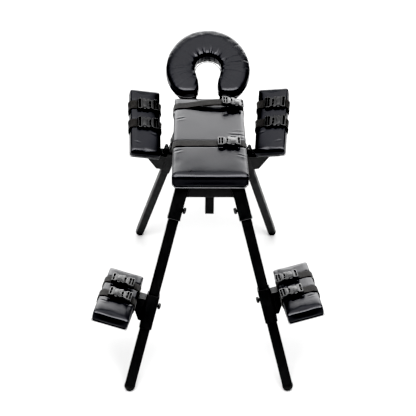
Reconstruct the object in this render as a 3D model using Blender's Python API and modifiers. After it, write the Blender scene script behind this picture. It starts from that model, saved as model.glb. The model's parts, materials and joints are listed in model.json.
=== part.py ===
"""Padded restraint bench: a torso pad, a face cradle, two arm rests and two knee rests on a steel frame.

The bench stands on +Z up. Its head end faces +Y, its foot end -Y, and left is -X.
Four splayed legs telescope in sockets that are welded to two crossbars and a spine. The knee rests
clamp to the front legs, the arm rests to the rear legs, and the cradle slides in the spine's end.
"""
import math

import bmesh
import bpy
from mathutils import Matrix, Vector

# ---------------------------------------------------------------- driving dimensions, metres
GAP = 0.0003                 # clearance between touching pieces
HOLE_CLEARANCE = 0.0003      # radial, round a shaft

TOP_HEIGHT = 0.795           # top of the torso pad above the floor
TORSO_WIDTH = 0.254
TORSO_LENGTH = 0.517
TORSO_FOAM = 0.046
TORSO_BOARD = 0.012
TORSO_BOARD_INSET = 0.005

SLEEVE = 0.0381              # outer width of the spine, the rear crossbar, and the rear sockets and collars
FRONT_SLEEVE = 0.0460        # the same at the front, where the legs are heavier
SLEEVE_WALL = 0.00275
FRONT_SLEEVE_WALL = 0.0036
TUBE = 0.0318                # outer width of the rear leg tubes and the cradle's arm
FRONT_TUBE = 0.0378
TUBE_WALL = 0.0020
CORNER = 0.0042              # outer corner radius of a square tube

SOCKET_TOP = (0.098, 0.7255)  # distance from the middle plane, height
FRONT_SOCKET_Y = 0.032
REAR_SOCKET_Y = 0.437
FRONT_FOOT = (0.297, -0.2535)
REAR_FOOT = (0.292, 0.691)
SOCKET_LENGTH = 0.122
SOCKET_KNOB_AT = 0.087       # along the leg, from the socket's top
FRONT_SOCKET_INSET = 0.0045  # the heavier front socket's top stays clear of the torso board
LEG_INSET = 0.012            # top of the leg tube below the socket's top
LEG_END = 0.0235             # end of the leg tube above the floor, along its axis

FOOT_RADIUS = 0.0172         # of the domed feet; the front ones are larger
FRONT_FOOT_RADIUS = 0.0205
FOOT_STEM = 0.024            # how far a foot's stem goes up the tube

COLLAR_LENGTH = 0.129
COLLAR_RISE = 0.017          # the collar's top above the bracket plate
COLLAR_KNOB_AT = 0.040       # below the collar's top
KNEE_COLLAR_AT = 0.4226      # bracket plate, along the leg from the socket's top
KNEE_NOTCH = 0.0125          # the left rest is this much lower and the right this much higher
ARM_COLLAR_AT = 0.191
PLATE = 0.005
BRACKET_DEPTH = 0.037
GUSSET = {"knee": (0.062, 0.012, 0.086), "arm": (0.093, 0.022, 0.090)}  # reach, flat at its foot, drop

REST_LENGTH = 0.292
KNEE_WIDTH = 0.127
KNEE_FOAM = 0.046
ARM_WIDTH = 0.118
ARM_FOAM = 0.040
KNEE_PITCH = math.radians(7.3)   # the head end of the pad is lower
ARM_EXTRA_PITCH = math.radians(5.25)
PAD_ROUND = 0.011
# A pad's middle outwards from the leg's axis and towards the head end, and how far it is turned:
# the knee pads' far ends inwards, the arm pads' far ends outwards.
REST_PLACE = {("knee", "left"): (0.1169, -0.0908, math.radians(4.65)),
              ("knee", "right"): (0.1145, -0.0873, math.radians(2.45)),
              ("arm", "left"): (0.1091, 0.1096, math.radians(3.3)),
              ("arm", "right"): (0.1077, 0.1254, math.radians(6.45))}

WEB_WIDTH = 0.038
WEB_THICKNESS = 0.0022
# From a rest pad's middle towards the head end: its far strap and its near strap.
STRAP_ALONG = {("knee", "left"): (0.065, -0.025), ("knee", "right"): (0.062, -0.034),
               ("arm", "left"): (0.074, -0.012), ("arm", "right"): (0.074, -0.014)}
# From a rest pad's middle to the right: the buckle on each of those straps.
BUCKLE_ACROSS = {("knee", "left"): (-0.002, 0.006), ("knee", "right"): (-0.024, -0.024),
                 ("arm", "left"): (0.008, 0.0075), ("arm", "right"): (0.0135, 0.019)}
TORSO_STRAP_Y = (0.454, 0.198)
FAR_STRAP_LIFT = 0.016
FAR_STRAP_PEAK = 0.040       # where the slack strap stands highest, from the middle plane
FAR_STRAP_BULGE = 0.009

BUCKLE_LENGTH = 0.082
BUCKLE_WIDTH = 0.050
BUCKLE_HEIGHT = 0.0125
BUCKLE_SLOT = 0.0055

CRADLE_TILT = math.radians(20.0)
CRADLE_NEAR = (0.5645, 0.801)  # y, z of the pillow's near top edge
CRADLE_WIDTH = 0.324
CRADLE_LENGTH = 0.318
CRADLE_MIDDLE = 0.128        # widest place, from the near edge
CRADLE_FOAM = 0.060
CRADLE_BOARD = 0.009
HOLE_HALF_WIDTH = 0.056
HOLE_TOP = 0.066             # hole's end beyond the widest place
MOUTH_HALF_WIDTH = 0.035
HINGE_Y = 0.612
HINGE_Z = 0.719
BARREL_LENGTH = 0.090
BARREL_RADIUS = 0.012
LUG = 0.006
SHAFT_RADIUS = 0.004
SPINE_END = 0.545
CRADLE_ARM = (0.400, 0.6055)
CRADLE_KNOB_Y = 0.527

RECEIVER_Y = 0.076
RECEIVER_END = 0.583
RECEIVER_WIDTH = 0.0318

SIDES = {"left": -1.0, "right": 1.0}

FRAME_TOP = TOP_HEIGHT - TORSO_FOAM - TORSO_BOARD - 2 * GAP
SPINE_Z = FRAME_TOP - SLEEVE / 2
REAR_BAR_Z = SPINE_Z - SLEEVE - GAP

# The box of the whole bench is centred on the origin: its middle lies here in the bench's own plan.
PLAN_MIDDLE = Vector((-0.008182, 0.270535, 0.0))


# ---------------------------------------------------------------- scene, materials, helpers
def clear_scene():
    for obj in list(bpy.data.objects):
        bpy.data.objects.remove(obj)


def collection(name):
    made = bpy.data.collections.new(name)
    bpy.context.scene.collection.children.link(made)
    return made


def material(name, colour, roughness, metallic=0.0):
    made = bpy.data.materials.new(name)
    made.use_nodes = True
    shader = made.node_tree.nodes["Principled BSDF"]
    shader.inputs["Base Color"].default_value = (*colour, 1.0)
    shader.inputs["Roughness"].default_value = roughness
    shader.inputs["Metallic"].default_value = metallic
    return made


clear_scene()
BENCH = collection("restraint_bench")
CUTTERS = collection("cutters")
STEEL = material("black_powder_coat", (0.012, 0.012, 0.013), 0.45)
RUBBER = material("black_rubber", (0.015, 0.015, 0.015), 0.75)
VINYL = material("black_leatherette", (0.022, 0.022, 0.024), 0.42)
WEBBING = material("charcoal_webbing", (0.045, 0.043, 0.042), 0.85)
PLASTIC = material("black_plastic", (0.020, 0.020, 0.021), 0.30)
PLYWOOD = material("plywood", (0.35, 0.25, 0.15), 0.70)
TO_ORIGIN = Matrix.Translation(-PLAN_MIDDLE)


def add_object(name, mesh, matrix, look=None, home=None):
    made = bpy.data.objects.new(name, mesh)
    (home or BENCH).objects.link(made)
    made.matrix_world = TO_ORIGIN @ matrix
    if look:
        mesh.materials.append(look)
    return made


def as_cutter(obj):
    for home in list(obj.users_collection):
        home.objects.unlink(obj)
    CUTTERS.objects.link(obj)
    obj.hide_render = True
    obj.display_type = "WIRE"
    return obj


def boolean(obj, other, operation):
    step = obj.modifiers.new(operation.lower(), "BOOLEAN")
    step.operation = operation
    step.object = as_cutter(other)
    return obj


def mesh_from(bm, name):
    bmesh.ops.recalc_face_normals(bm, faces=bm.faces)
    mesh = bpy.data.meshes.new(name)
    bm.to_mesh(mesh)
    bm.free()
    return mesh


def smooth(obj, angle=35.0):
    obj.data.shade_smooth()
    obj.data.set_sharp_from_angle(angle=math.radians(angle))
    return obj


def box(name, size, matrix, look=None, rounding=0.0, segments=2, centre=(0, 0, 0)):
    """A box of a size about centre, in matrix, with all edges rounded."""
    bm = bmesh.new()
    bmesh.ops.create_cube(bm, size=1.0)
    bmesh.ops.scale(bm, vec=size, verts=bm.verts)
    bmesh.ops.translate(bm, vec=centre, verts=bm.verts)
    if rounding:
        bmesh.ops.bevel(bm, geom=list(bm.edges), offset=rounding, segments=segments,
                        profile=0.5, affect="EDGES")
    return smooth(add_object(name, mesh_from(bm, name), matrix, look))


def square_tube(name, width, wall, low, high, matrix, look=STEEL):
    """A hollow square tube along its own Z, open at both ends, with rounded corners."""
    bm = bmesh.new()
    bmesh.ops.create_cube(bm, size=1.0)
    bmesh.ops.scale(bm, vec=(width, width, high - low), verts=bm.verts)
    bmesh.ops.translate(bm, vec=(0, 0, (high + low) / 2), verts=bm.verts)
    long_edges = [e for e in bm.edges if abs(e.verts[0].co.z - e.verts[1].co.z) > 1e-6]
    bmesh.ops.bevel(bm, geom=long_edges, offset=CORNER, segments=2, profile=0.5, affect="EDGES")
    ends = [f for f in bm.faces if abs(f.normal.z) > 0.9]
    bmesh.ops.delete(bm, geom=ends, context="FACES_ONLY")
    obj = smooth(add_object(name, mesh_from(bm, name), matrix, look))
    shell = obj.modifiers.new("wall", "SOLIDIFY")
    shell.thickness = wall
    shell.offset = -1.0
    shell.use_even_offset = True
    return obj


def turned(name, profile, matrix, look, steps=20):
    """A solid of revolution about Z: profile is (radius, z) from the top down."""
    mesh = bpy.data.meshes.new(name)
    points = [(radius, 0.0, z) for radius, z in profile]
    mesh.from_pydata(points, [(i, i + 1) for i in range(len(points) - 1)], [])
    obj = add_object(name, mesh, matrix, look)
    screw = obj.modifiers.new("turn", "SCREW")
    screw.steps = steps
    screw.render_steps = steps
    screw.use_merge_vertices = True
    screw.merge_threshold = 0.00002
    screw.use_smooth_shade = True
    return obj


def flat_solid(name, outlines, thickness, matrix, look=None, rounding=0.0, segments=2):
    """Outlines in the XY plane of matrix, filled and made thickness thick about that plane."""
    curve = bpy.data.curves.new(name, "CURVE")
    curve.dimensions = "2D"
    curve.fill_mode = "BOTH"
    curve.extrude = thickness / 2
    for outline in outlines:
        spline = curve.splines.new("POLY")
        spline.points.add(len(outline) - 1)
        for point, (x, y) in zip(spline.points, outline):
            point.co = (x, y, 0.0, 1.0)
        spline.use_cyclic_u = True
    guide = bpy.data.objects.new(name + "_outline", curve)
    BENCH.objects.link(guide)
    graph = bpy.context.evaluated_depsgraph_get()
    mesh = bpy.data.meshes.new_from_object(guide.evaluated_get(graph))
    bpy.data.objects.remove(guide)
    bm = bmesh.new()
    bm.from_mesh(mesh)
    bmesh.ops.remove_doubles(bm, verts=bm.verts, dist=0.00005)
    bpy.data.meshes.remove(mesh)
    obj = smooth(add_object(name, mesh_from(bm, name), matrix, look))
    if rounding:
        soft = obj.modifiers.new("rounding", "BEVEL")
        soft.width = rounding
        soft.segments = segments
        soft.limit_method = "ANGLE"
        soft.angle_limit = math.radians(50)
    return obj


def cylinder(name, radius, low, high, matrix, look=None, steps=20):
    return turned(name, [(0, high), (radius, high), (radius, low), (0, low)], matrix, look, steps)


def axes(x, y, z, origin):
    """The matrix of a frame with these axis directions and this origin."""
    made = Matrix((x, y, z)).transposed().to_4x4()
    made.translation = origin
    return made


def leg_frame(side, socket_y, foot):
    """Origin at the socket's top, Z up along the leg, X sideways, Y towards the head end."""
    top = Vector((side * SOCKET_TOP[0], socket_y, SOCKET_TOP[1]))
    bottom = Vector((side * foot[0], foot[1], 0.0))
    up = (top - bottom).normalized()
    across = (Vector((1, 0, 0)) - up * up.x).normalized()
    return axes(across, up.cross(across), up, top), (top - bottom).length


def knob_frame(leg, along, face_x, pointing):
    """Z points out of the side face of a sleeve on the leg, starting at that face."""
    out = Vector((pointing, 0, 0))
    local = axes(Vector((0, 1, 0)), out.cross(Vector((0, 1, 0))), out, Vector((face_x, 0, along)))
    return leg @ local


KNOB_PROFILE = ((0, 0.0125), (0.0085, 0.0125), (0.0110, 0.0108), (0.0118, 0.0088), (0.0118, 0.0055),
                (0.0100, 0.0036), (0.0065, 0.0028), (0.0065, GAP), (SHAFT_RADIUS, GAP))


def lock_knob(name, matrix, reach):
    """A hand knob whose screw goes reach deep into the sleeve's wall."""
    profile = list(KNOB_PROFILE) + [(SHAFT_RADIUS, -reach), (0, -reach)]
    return turned(name, profile, matrix, PLASTIC, steps=16)


def knob_hole(obj, matrix):
    hole = cylinder(obj.name + "_hole", SHAFT_RADIUS + HOLE_CLEARANCE, -0.010, 0.010, matrix, steps=16)
    return boolean(obj, hole, "DIFFERENCE")


KNOB_REACH = (SLEEVE - TUBE) / 2 - GAP
SLEEVES = {"front": (FRONT_SLEEVE, FRONT_SLEEVE_WALL, FRONT_TUBE), "rear": (SLEEVE, SLEEVE_WALL, TUBE)}


# ---------------------------------------------------------------- legs, sockets and feet
def make_leg(end, side_name, socket_y, foot):
    side = SIDES[side_name]
    tag = f"{end}_{side_name}"
    sleeve, wall, tube = SLEEVES[end]
    leg, length = leg_frame(side, socket_y, foot)
    knob_at = knob_frame(leg, -SOCKET_KNOB_AT, -side * sleeve / 2, -side)

    inset = FRONT_SOCKET_INSET if end == "front" else 0.0
    socket = square_tube(f"leg_socket_{tag}", sleeve, wall, -SOCKET_LENGTH, -inset, leg)
    knob_hole(socket, knob_at)
    lock_knob(f"leg_knob_{tag}", knob_at, (sleeve - tube) / 2 - GAP)
    square_tube(f"leg_tube_{tag}", tube, TUBE_WALL, LEG_END - length, -LEG_INSET, leg)

    radius = FRONT_FOOT_RADIUS if end == "front" else FOOT_RADIUS
    stem = tube / 2 - TUBE_WALL - GAP
    profile = [(0, LEG_END + FOOT_STEM), (stem - 0.001, LEG_END + FOOT_STEM), (stem, LEG_END + FOOT_STEM - 0.002),
               (stem, LEG_END - GAP), (radius * 0.97, LEG_END - GAP)]
    profile += [(radius * math.cos(a), radius * (0.9 + math.sin(a)))
                for a in (math.radians(-10 * i) for i in range(9))]
    profile.append((0, -0.1 * radius))
    rubber = turned(f"foot_{tag}", profile, leg @ Matrix.Translation((0, 0, -length)), RUBBER, steps=24)
    floor_size = 0.2
    floor = box(rubber.name + "_floor", (floor_size,) * 3, Matrix.Translation((side * foot[0], foot[1], 0)),
                centre=(0, 0, -floor_size / 2))
    boolean(rubber, floor, "DIFFERENCE")
    return leg


# ---------------------------------------------------------------- the welded frame
def crossbar(name, sleeve, wall, y, z, legs):
    """A square tube across the bench, its ends cut back to the two sockets."""
    half = 0.112
    along_x = Matrix.Translation((0, y, z)) @ Matrix.Rotation(math.radians(90), 4, "Y")
    bar = square_tube(name, sleeve, wall, -half, half, along_x)
    clear = sleeve + 2 * GAP
    for index, leg in enumerate(legs):
        envelope = box(f"{name}_cut_{index}", (clear, clear, 0.30), leg)
        boolean(bar, envelope, "DIFFERENCE")
    return bar


def make_frame(legs):
    front = [legs["front", side] for side in SIDES]
    rear = [legs["rear", side] for side in SIDES]
    crossbar("front_crossbar", FRONT_SLEEVE, FRONT_SLEEVE_WALL, FRONT_SOCKET_Y, FRAME_TOP - FRONT_SLEEVE / 2, front)
    crossbar("rear_crossbar", SLEEVE, SLEEVE_WALL, REAR_SOCKET_Y + 0.017, REAR_BAR_Z, rear)

    along_y = axes(Vector((-1, 0, 0)), Vector((0, 0, 1)), Vector((0, 1, 0)), Vector((0, 0, SPINE_Z)))
    spine_start = FRONT_SOCKET_Y + FRONT_SLEEVE / 2 + GAP
    spine = square_tube("spine_tube", SLEEVE, SLEEVE_WALL, spine_start, SPINE_END, along_y)
    under = axes(Vector((1, 0, 0)), Vector((0, -1, 0)), Vector((0, 0, -1)),
                 Vector((0, CRADLE_KNOB_Y, SPINE_Z - SLEEVE / 2)))
    knob_hole(spine, under)
    lock_knob("cradle_arm_knob", under, KNOB_REACH)

    receiver_at = Matrix.Translation((0, RECEIVER_Y, 0))
    receiver_top = SPINE_Z - SLEEVE / 2 - GAP
    square_tube("accessory_receiver", RECEIVER_WIDTH, TUBE_WALL, RECEIVER_END, receiver_top, receiver_at)
    plug_cap = 0.003
    plug_depth = 0.020
    plug_width = RECEIVER_WIDTH - 2 * TUBE_WALL - 2 * GAP
    plug = box("receiver_plug", (RECEIVER_WIDTH, RECEIVER_WIDTH, plug_cap), receiver_at, PLASTIC, 0.0012, 1,
               centre=(0, 0, RECEIVER_END - GAP - plug_cap / 2))
    stem = box("receiver_plug_stem", (plug_width - 0.002, plug_width - 0.002, plug_depth), receiver_at,
               centre=(0, 0, RECEIVER_END + plug_depth / 2 - 0.001))
    boolean(plug, stem, "UNION")


# ---------------------------------------------------------------- straps and buckles
def arc(centre, radius, start, end, steps):
    """Points on an arc from start to end, in degrees."""
    points = []
    for i in range(steps + 1):
        angle = math.radians(start + (end - start) * i / steps)
        points.append((centre[0] + radius * math.cos(angle), centre[1] + radius * math.sin(angle)))
    return points


def arch(x, reach, peak):
    """How high a slack strap stands at x, as a share of its lift."""
    if x < peak:
        return math.sin(math.pi / 2 * (x + reach) / (peak + reach)) ** 1.5
    return math.cos(math.pi / 2 * (x - peak) / (reach - peak)) ** 1.3


def strap_path(width, depth, lift=0.0, bulge=0.0, peak=0.0):
    """The middle line of a strap over a pad, from the left bottom edge to the right one.

    X runs across the pad, Y up from its top face. depth is how far the sides reach down. lift
    is how far a slack strap arches above the pad, and bulge how far it hangs clear on the left.
    """
    off = GAP * 2 + WEB_THICKNESS / 2
    half = width / 2 + off
    radius = PAD_ROUND + off
    corner_steps = 4
    points = [(-half - bulge * math.sin(math.pi * t), -depth + t * (depth + off - radius)) for t in (0, 0.5)]
    points += arc((-half + radius, off - radius), radius, 180, 90, corner_steps)
    span_steps = 12
    reach = half - radius
    for i in range(1, span_steps):
        x = -reach + 2 * reach * i / span_steps
        points.append((x, off + lift * arch(x, reach, peak)))
    points += arc((half - radius, off - radius), radius, 90, 0, corner_steps)
    points.append((half, -depth))
    return points


def band_outline(path):
    """The closed outline of a strap of the webbing's thickness along a path."""
    left, right = [], []
    for i, point in enumerate(path):
        before = path[max(i - 1, 0)]
        after = path[min(i + 1, len(path) - 1)]
        along = Vector((after[0] - before[0], after[1] - before[1])).normalized()
        side = Vector((-along.y, along.x)) * WEB_THICKNESS / 2
        left.append((point[0] + side.x, point[1] + side.y))
        right.append((point[0] - side.x, point[1] - side.y))
    return left + right[::-1]


def strap(name, pad, along, width, depth, slack=(0.0, 0.0, 0.0)):
    """A strap across a pad. pad is the frame of its top face: X across, Y along, Z out."""
    standing = axes(Vector((1, 0, 0)), Vector((0, 0, 1)), Vector((0, -1, 0)), Vector((0, along, 0)))
    return flat_solid(name, [band_outline(strap_path(width, depth, *slack))], WEB_WIDTH, pad @ standing,
                      WEBBING)


def buckle(name, pad, along, across, lift=0.0, tip=0.0, facing=1.0):
    """A side-release buckle lying on a strap. Its two-slot plug half points along facing times X."""
    base = GAP * 3 + WEB_THICKNESS + lift
    turn = Matrix.Rotation(0.0 if facing > 0 else math.pi, 4, "Z")
    at = pad @ Matrix.Translation((across, along, base)) @ Matrix.Rotation(tip, 4, "Y") @ turn
    half_long = BUCKLE_LENGTH / 2
    half_wide = BUCKLE_WIDTH / 2
    waist = 0.42 * BUCKLE_WIDTH
    outline = [(-half_long, -half_wide), (-0.2 * half_long, -half_wide), (0.1 * half_long, -waist),
               (0.5 * half_long, -half_wide), (half_long, -half_wide), (half_long, half_wide),
               (0.5 * half_long, half_wide), (0.1 * half_long, waist), (-0.2 * half_long, half_wide),
               (-half_long, half_wide)]
    slot_half = WEB_WIDTH / 2 + 0.001
    slots = []
    for place in (-0.86, 0.66, 0.86):
        middle = place * half_long
        slots.append([(middle - BUCKLE_SLOT / 2, -slot_half), (middle + BUCKLE_SLOT / 2, -slot_half),
                      (middle + BUCKLE_SLOT / 2, slot_half), (middle - BUCKLE_SLOT / 2, slot_half)])
    raised = at @ Matrix.Translation((0, 0, BUCKLE_HEIGHT / 2))
    return flat_solid(name, [outline] + slots, BUCKLE_HEIGHT, raised, PLASTIC)


# ---------------------------------------------------------------- torso pad
def make_torso():
    pad = Matrix.Translation((0, TORSO_LENGTH / 2, TOP_HEIGHT))
    box("torso_cushion", (TORSO_WIDTH, TORSO_LENGTH, TORSO_FOAM), pad, VINYL, PAD_ROUND, 3,
        centre=(0, 0, -TORSO_FOAM / 2))
    board_size = (TORSO_WIDTH - 2 * TORSO_BOARD_INSET, TORSO_LENGTH - 2 * TORSO_BOARD_INSET, TORSO_BOARD)
    box("torso_board", board_size, pad, PLYWOOD, 0.001, 1, centre=(0, 0, -TORSO_FOAM - GAP - TORSO_BOARD / 2))
    depth = TORSO_FOAM + TORSO_BOARD * 0.6
    far, near = (y - TORSO_LENGTH / 2 for y in TORSO_STRAP_Y)
    slack = (FAR_STRAP_LIFT, FAR_STRAP_BULGE, FAR_STRAP_PEAK)
    strap("torso_strap_far", pad, far, TORSO_WIDTH, depth, slack)
    strap("torso_strap_near", pad, near, TORSO_WIDTH, depth)
    buckle("torso_buckle_far", pad, far, 0.0855, 0.0098, math.radians(13), facing=-1.0)
    buckle("torso_buckle_near", pad, near, 0.066, facing=-1.0)


# ---------------------------------------------------------------- knee and arm rests
def make_rest(kind, side_name, leg, collar_at, width, foam, pad_axes):
    """A clamping collar with its bracket, lock knob, cushion, straps and buckles."""
    side = SIDES[side_name]
    tag = f"{kind}_{{}}_{side_name}"
    sleeve, wall, tube = SLEEVES["front" if kind == "knee" else "rear"]
    out, along, _ = REST_PLACE[kind, side_name]
    gusset_reach, gusset_flat, gusset_drop = GUSSET[kind]
    bracket = leg @ Matrix.Translation((0, 0, -collar_at))
    collar = bracket @ Matrix.Translation((0, 0, COLLAR_RISE))
    carrier = square_tube(tag.format("carrier"), sleeve, wall, -COLLAR_LENGTH, 0.0, collar)

    across, lengthwise, normal = pad_axes
    pad_base = bracket @ axes(across, lengthwise, normal, Vector((0, 0, 0)))
    inner = sleeve / 2 - 0.0012
    plate_length = out + width * 0.30 - inner
    plate = box(carrier.name + "_plate", (plate_length, BRACKET_DEPTH, PLATE), pad_base,
                centre=(side * (inner + plate_length / 2), 0, -PLATE / 2))
    boolean(carrier, plate, "UNION")
    for index, edge in enumerate((-1, 1)):
        gusset_outline = [(side * inner, -0.0035), (side * (inner + gusset_reach), -0.0035),
                          (side * (inner + gusset_flat), -gusset_drop), (side * inner, -gusset_drop)]
        if side < 0:
            gusset_outline.reverse()
        place = Vector((0, edge * (BRACKET_DEPTH - PLATE) / 2, 0))
        upright = axes(Vector((1, 0, 0)), Vector((0, 0, 1)), Vector((0, -1, 0)), place)
        gusset = flat_solid(f"{carrier.name}_gusset_{index}", [gusset_outline], PLATE, bracket @ upright)
        boolean(carrier, gusset, "UNION")
    bore_width = sleeve - 2 * wall
    bore = box(carrier.name + "_bore", (bore_width, bore_width, 0.5), collar)
    boolean(carrier, bore, "DIFFERENCE")
    pad = pad_base @ Matrix.Translation((side * out, along, GAP + foam))
    headroom = 0.12
    clear_pad = box(carrier.name + "_clear", (width + 0.02, REST_LENGTH + 0.02, headroom), pad,
                    centre=(0, 0, headroom / 2 - foam - GAP))
    boolean(carrier, clear_pad, "DIFFERENCE")

    knob_at = knob_frame(collar, -COLLAR_KNOB_AT, -side * sleeve / 2, -side)
    knob_hole(carrier, knob_at)
    lock_knob(tag.format("knob"), knob_at, (sleeve - tube) / 2 - GAP)

    box(tag.format("cushion"), (width, REST_LENGTH, foam), pad, VINYL, PAD_ROUND, 3, centre=(0, 0, -foam / 2))
    places = zip(("far", "near"), STRAP_ALONG[kind, side_name], BUCKLE_ACROSS[kind, side_name])
    for name, place, across_at in places:
        strap(tag.format("strap") + "_" + name, pad, place, width, foam - 0.004)
        buckle(tag.format("buckle") + "_" + name, pad, place, across_at, facing=-side)
    return carrier


def downhill_axes(leg, side, toe_in):
    """In a front leg's frame: across the rest, along it a little downhill, and its normal."""
    across = (leg.to_3x3() @ Vector((1, 0, 0))).normalized()
    lengthwise = Vector((-across.y, across.x, 0)).normalized()
    level = axes(across, lengthwise, across.cross(lengthwise), Vector((0, 0, 0))).to_3x3()
    turn = (leg.to_3x3().transposed() @ level @ Matrix.Rotation(-KNEE_PITCH, 3, "X")
            @ Matrix.Rotation(side * toe_in, 3, "Z"))
    return turn @ Vector((1, 0, 0)), turn @ Vector((0, 1, 0)), turn @ Vector((0, 0, 1))


def pitched_axes(side, toe_out):
    """In a rear leg's frame: square to the leg, then pitched up and toed out."""
    turn = Matrix.Rotation(ARM_EXTRA_PITCH, 3, "X") @ Matrix.Rotation(-side * toe_out, 3, "Z")
    return turn @ Vector((1, 0, 0)), turn @ Vector((0, 1, 0)), turn @ Vector((0, 0, 1))


def make_rests(legs):
    for side_name, side in SIDES.items():
        front, rear = legs["front", side_name], legs["rear", side_name]
        knee_axes = downhill_axes(front, side, REST_PLACE["knee", side_name][2])
        arm_axes = pitched_axes(side, REST_PLACE["arm", side_name][2])
        make_rest("knee", side_name, front, KNEE_COLLAR_AT - side * KNEE_NOTCH, KNEE_WIDTH, KNEE_FOAM, knee_axes)
        make_rest("arm", side_name, rear, ARM_COLLAR_AT, ARM_WIDTH, ARM_FOAM, arm_axes)


# ---------------------------------------------------------------- face cradle
def horseshoe(inset, mouth_depth=0.0):
    """Outline from the near right edge of the mouth round the cradle and back along the hole."""
    half = CRADLE_WIDTH / 2 - inset
    far = CRADLE_LENGTH - CRADLE_MIDDLE - inset
    near = 0.180 - inset
    low = inset
    hole = HOLE_HALF_WIDTH + inset
    steps = 11
    start = -math.asin((CRADLE_MIDDLE - low) / near)
    outer = []
    for i in range(steps + 1):
        angle = start + (0 - start) * i / steps
        outer.append((half * math.cos(angle), CRADLE_MIDDLE + near * math.sin(angle)))
    for i in range(1, 2 * steps):
        angle = math.pi * i / (2 * steps)
        outer.append((half * math.cos(angle), CRADLE_MIDDLE + far * math.sin(angle)))
    outer += [(-x, y) for x, y in outer[steps::-1]]
    mouth = MOUTH_HALF_WIDTH + inset
    inner = [(-mouth, low), (-mouth, 0.055)]
    hole_steps = 10
    for i in range(hole_steps + 1):
        angle = math.pi * (1 - i / hole_steps)
        inner.append((hole * math.cos(angle), CRADLE_MIDDLE + (HOLE_TOP + inset) * math.sin(angle)))
    inner += [(mouth, 0.055), (mouth, low)]
    return outer + inner


def make_cradle():
    tilt = Matrix.Rotation(CRADLE_TILT, 4, "X")
    near_top = Vector((0, CRADLE_NEAR[0], CRADLE_NEAR[1]))
    plane = Matrix.Translation(near_top) @ tilt
    middle_of_foam = plane @ Matrix.Translation((0, 0, -CRADLE_FOAM / 2))
    flat_solid("cradle_pillow", [horseshoe(0.0)], CRADLE_FOAM, middle_of_foam, VINYL, 0.015, 3)

    hinge = Matrix.Translation((0, HINGE_Y, HINGE_Z))
    along_x = hinge @ axes(Vector((0, 1, 0)), Vector((0, 0, 1)), Vector((1, 0, 0)), Vector((0, 0, 0)))
    board_level = -CRADLE_FOAM - GAP - CRADLE_BOARD / 2
    board = flat_solid("cradle_board", [horseshoe(0.010)], CRADLE_BOARD,
                       plane @ Matrix.Translation((0, 0, board_level)), PLASTIC)
    lug_start = BARREL_LENGTH / 2 + GAP
    lug_half_width = 0.013
    lug_top = 0.028
    for index, side in enumerate((-1, 1)):
        lug_outline = arc((0, 0), lug_half_width, 180, 360, 8) + [(lug_half_width, lug_top),
                                                                   (-lug_half_width, lug_top)]
        upright = hinge @ tilt @ axes(Vector((0, 1, 0)), Vector((0, 0, 1)), Vector((1, 0, 0)),
                                      Vector((side * (lug_start + LUG / 2), 0, 0)))
        lug = flat_solid(f"cradle_lug_{index}", [lug_outline], LUG, upright)
        boolean(board, lug, "UNION")
    bore = cylinder("cradle_board_bore", SHAFT_RADIUS + HOLE_CLEARANCE, -0.08, 0.08, along_x, steps=16)
    boolean(board, bore, "DIFFERENCE")

    along_y = axes(Vector((-1, 0, 0)), Vector((0, 0, 1)), Vector((0, 1, 0)), Vector((0, 0, SPINE_Z)))
    arm = square_tube("cradle_arm", TUBE, TUBE_WALL, CRADLE_ARM[0], CRADLE_ARM[1], along_y)
    barrel = cylinder("cradle_arm_barrel", BARREL_RADIUS, -BARREL_LENGTH / 2, BARREL_LENGTH / 2, along_x)
    boolean(arm, barrel, "UNION")
    arm_bore = cylinder("cradle_arm_bore", SHAFT_RADIUS + HOLE_CLEARANCE, -0.08, 0.08, along_x, steps=16)
    boolean(arm, arm_bore, "DIFFERENCE")

    lug_face = lug_start + LUG + GAP
    knob_out = lug_face + 0.026
    profile = ((0, knob_out), (0.011, knob_out), (0.015, knob_out - 0.003), (0.015, knob_out - 0.014),
               (0.011, knob_out - 0.017), (0.008, lug_face + 0.006), (0.008, lug_face),
               (SHAFT_RADIUS, lug_face), (SHAFT_RADIUS, -lug_face), (0.007, -lug_face),
               (0.007, -lug_face - 0.006), (0, -lug_face - 0.006))
    turned("cradle_tilt_knob", profile, along_x, PLASTIC, steps=16)


# ---------------------------------------------------------------- build
def build():
    legs = {}
    for side_name in SIDES:
        legs["front", side_name] = make_leg("front", side_name, FRONT_SOCKET_Y, FRONT_FOOT)
        legs["rear", side_name] = make_leg("rear", side_name, REAR_SOCKET_Y, REAR_FOOT)
    make_frame(legs)
    make_torso()
    make_rests(legs)
    make_cradle()


build()
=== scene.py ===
"""A padded restraint bench: leatherette pads, webbing straps with side-release buckles, black steel frame.

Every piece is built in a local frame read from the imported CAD, so it stays with its part.
"""
import json
import math

import bmesh
import bpy
import numpy as np
from mathutils import Matrix, Vector, noise
from mathutils.bvhtree import BVHTree

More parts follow.
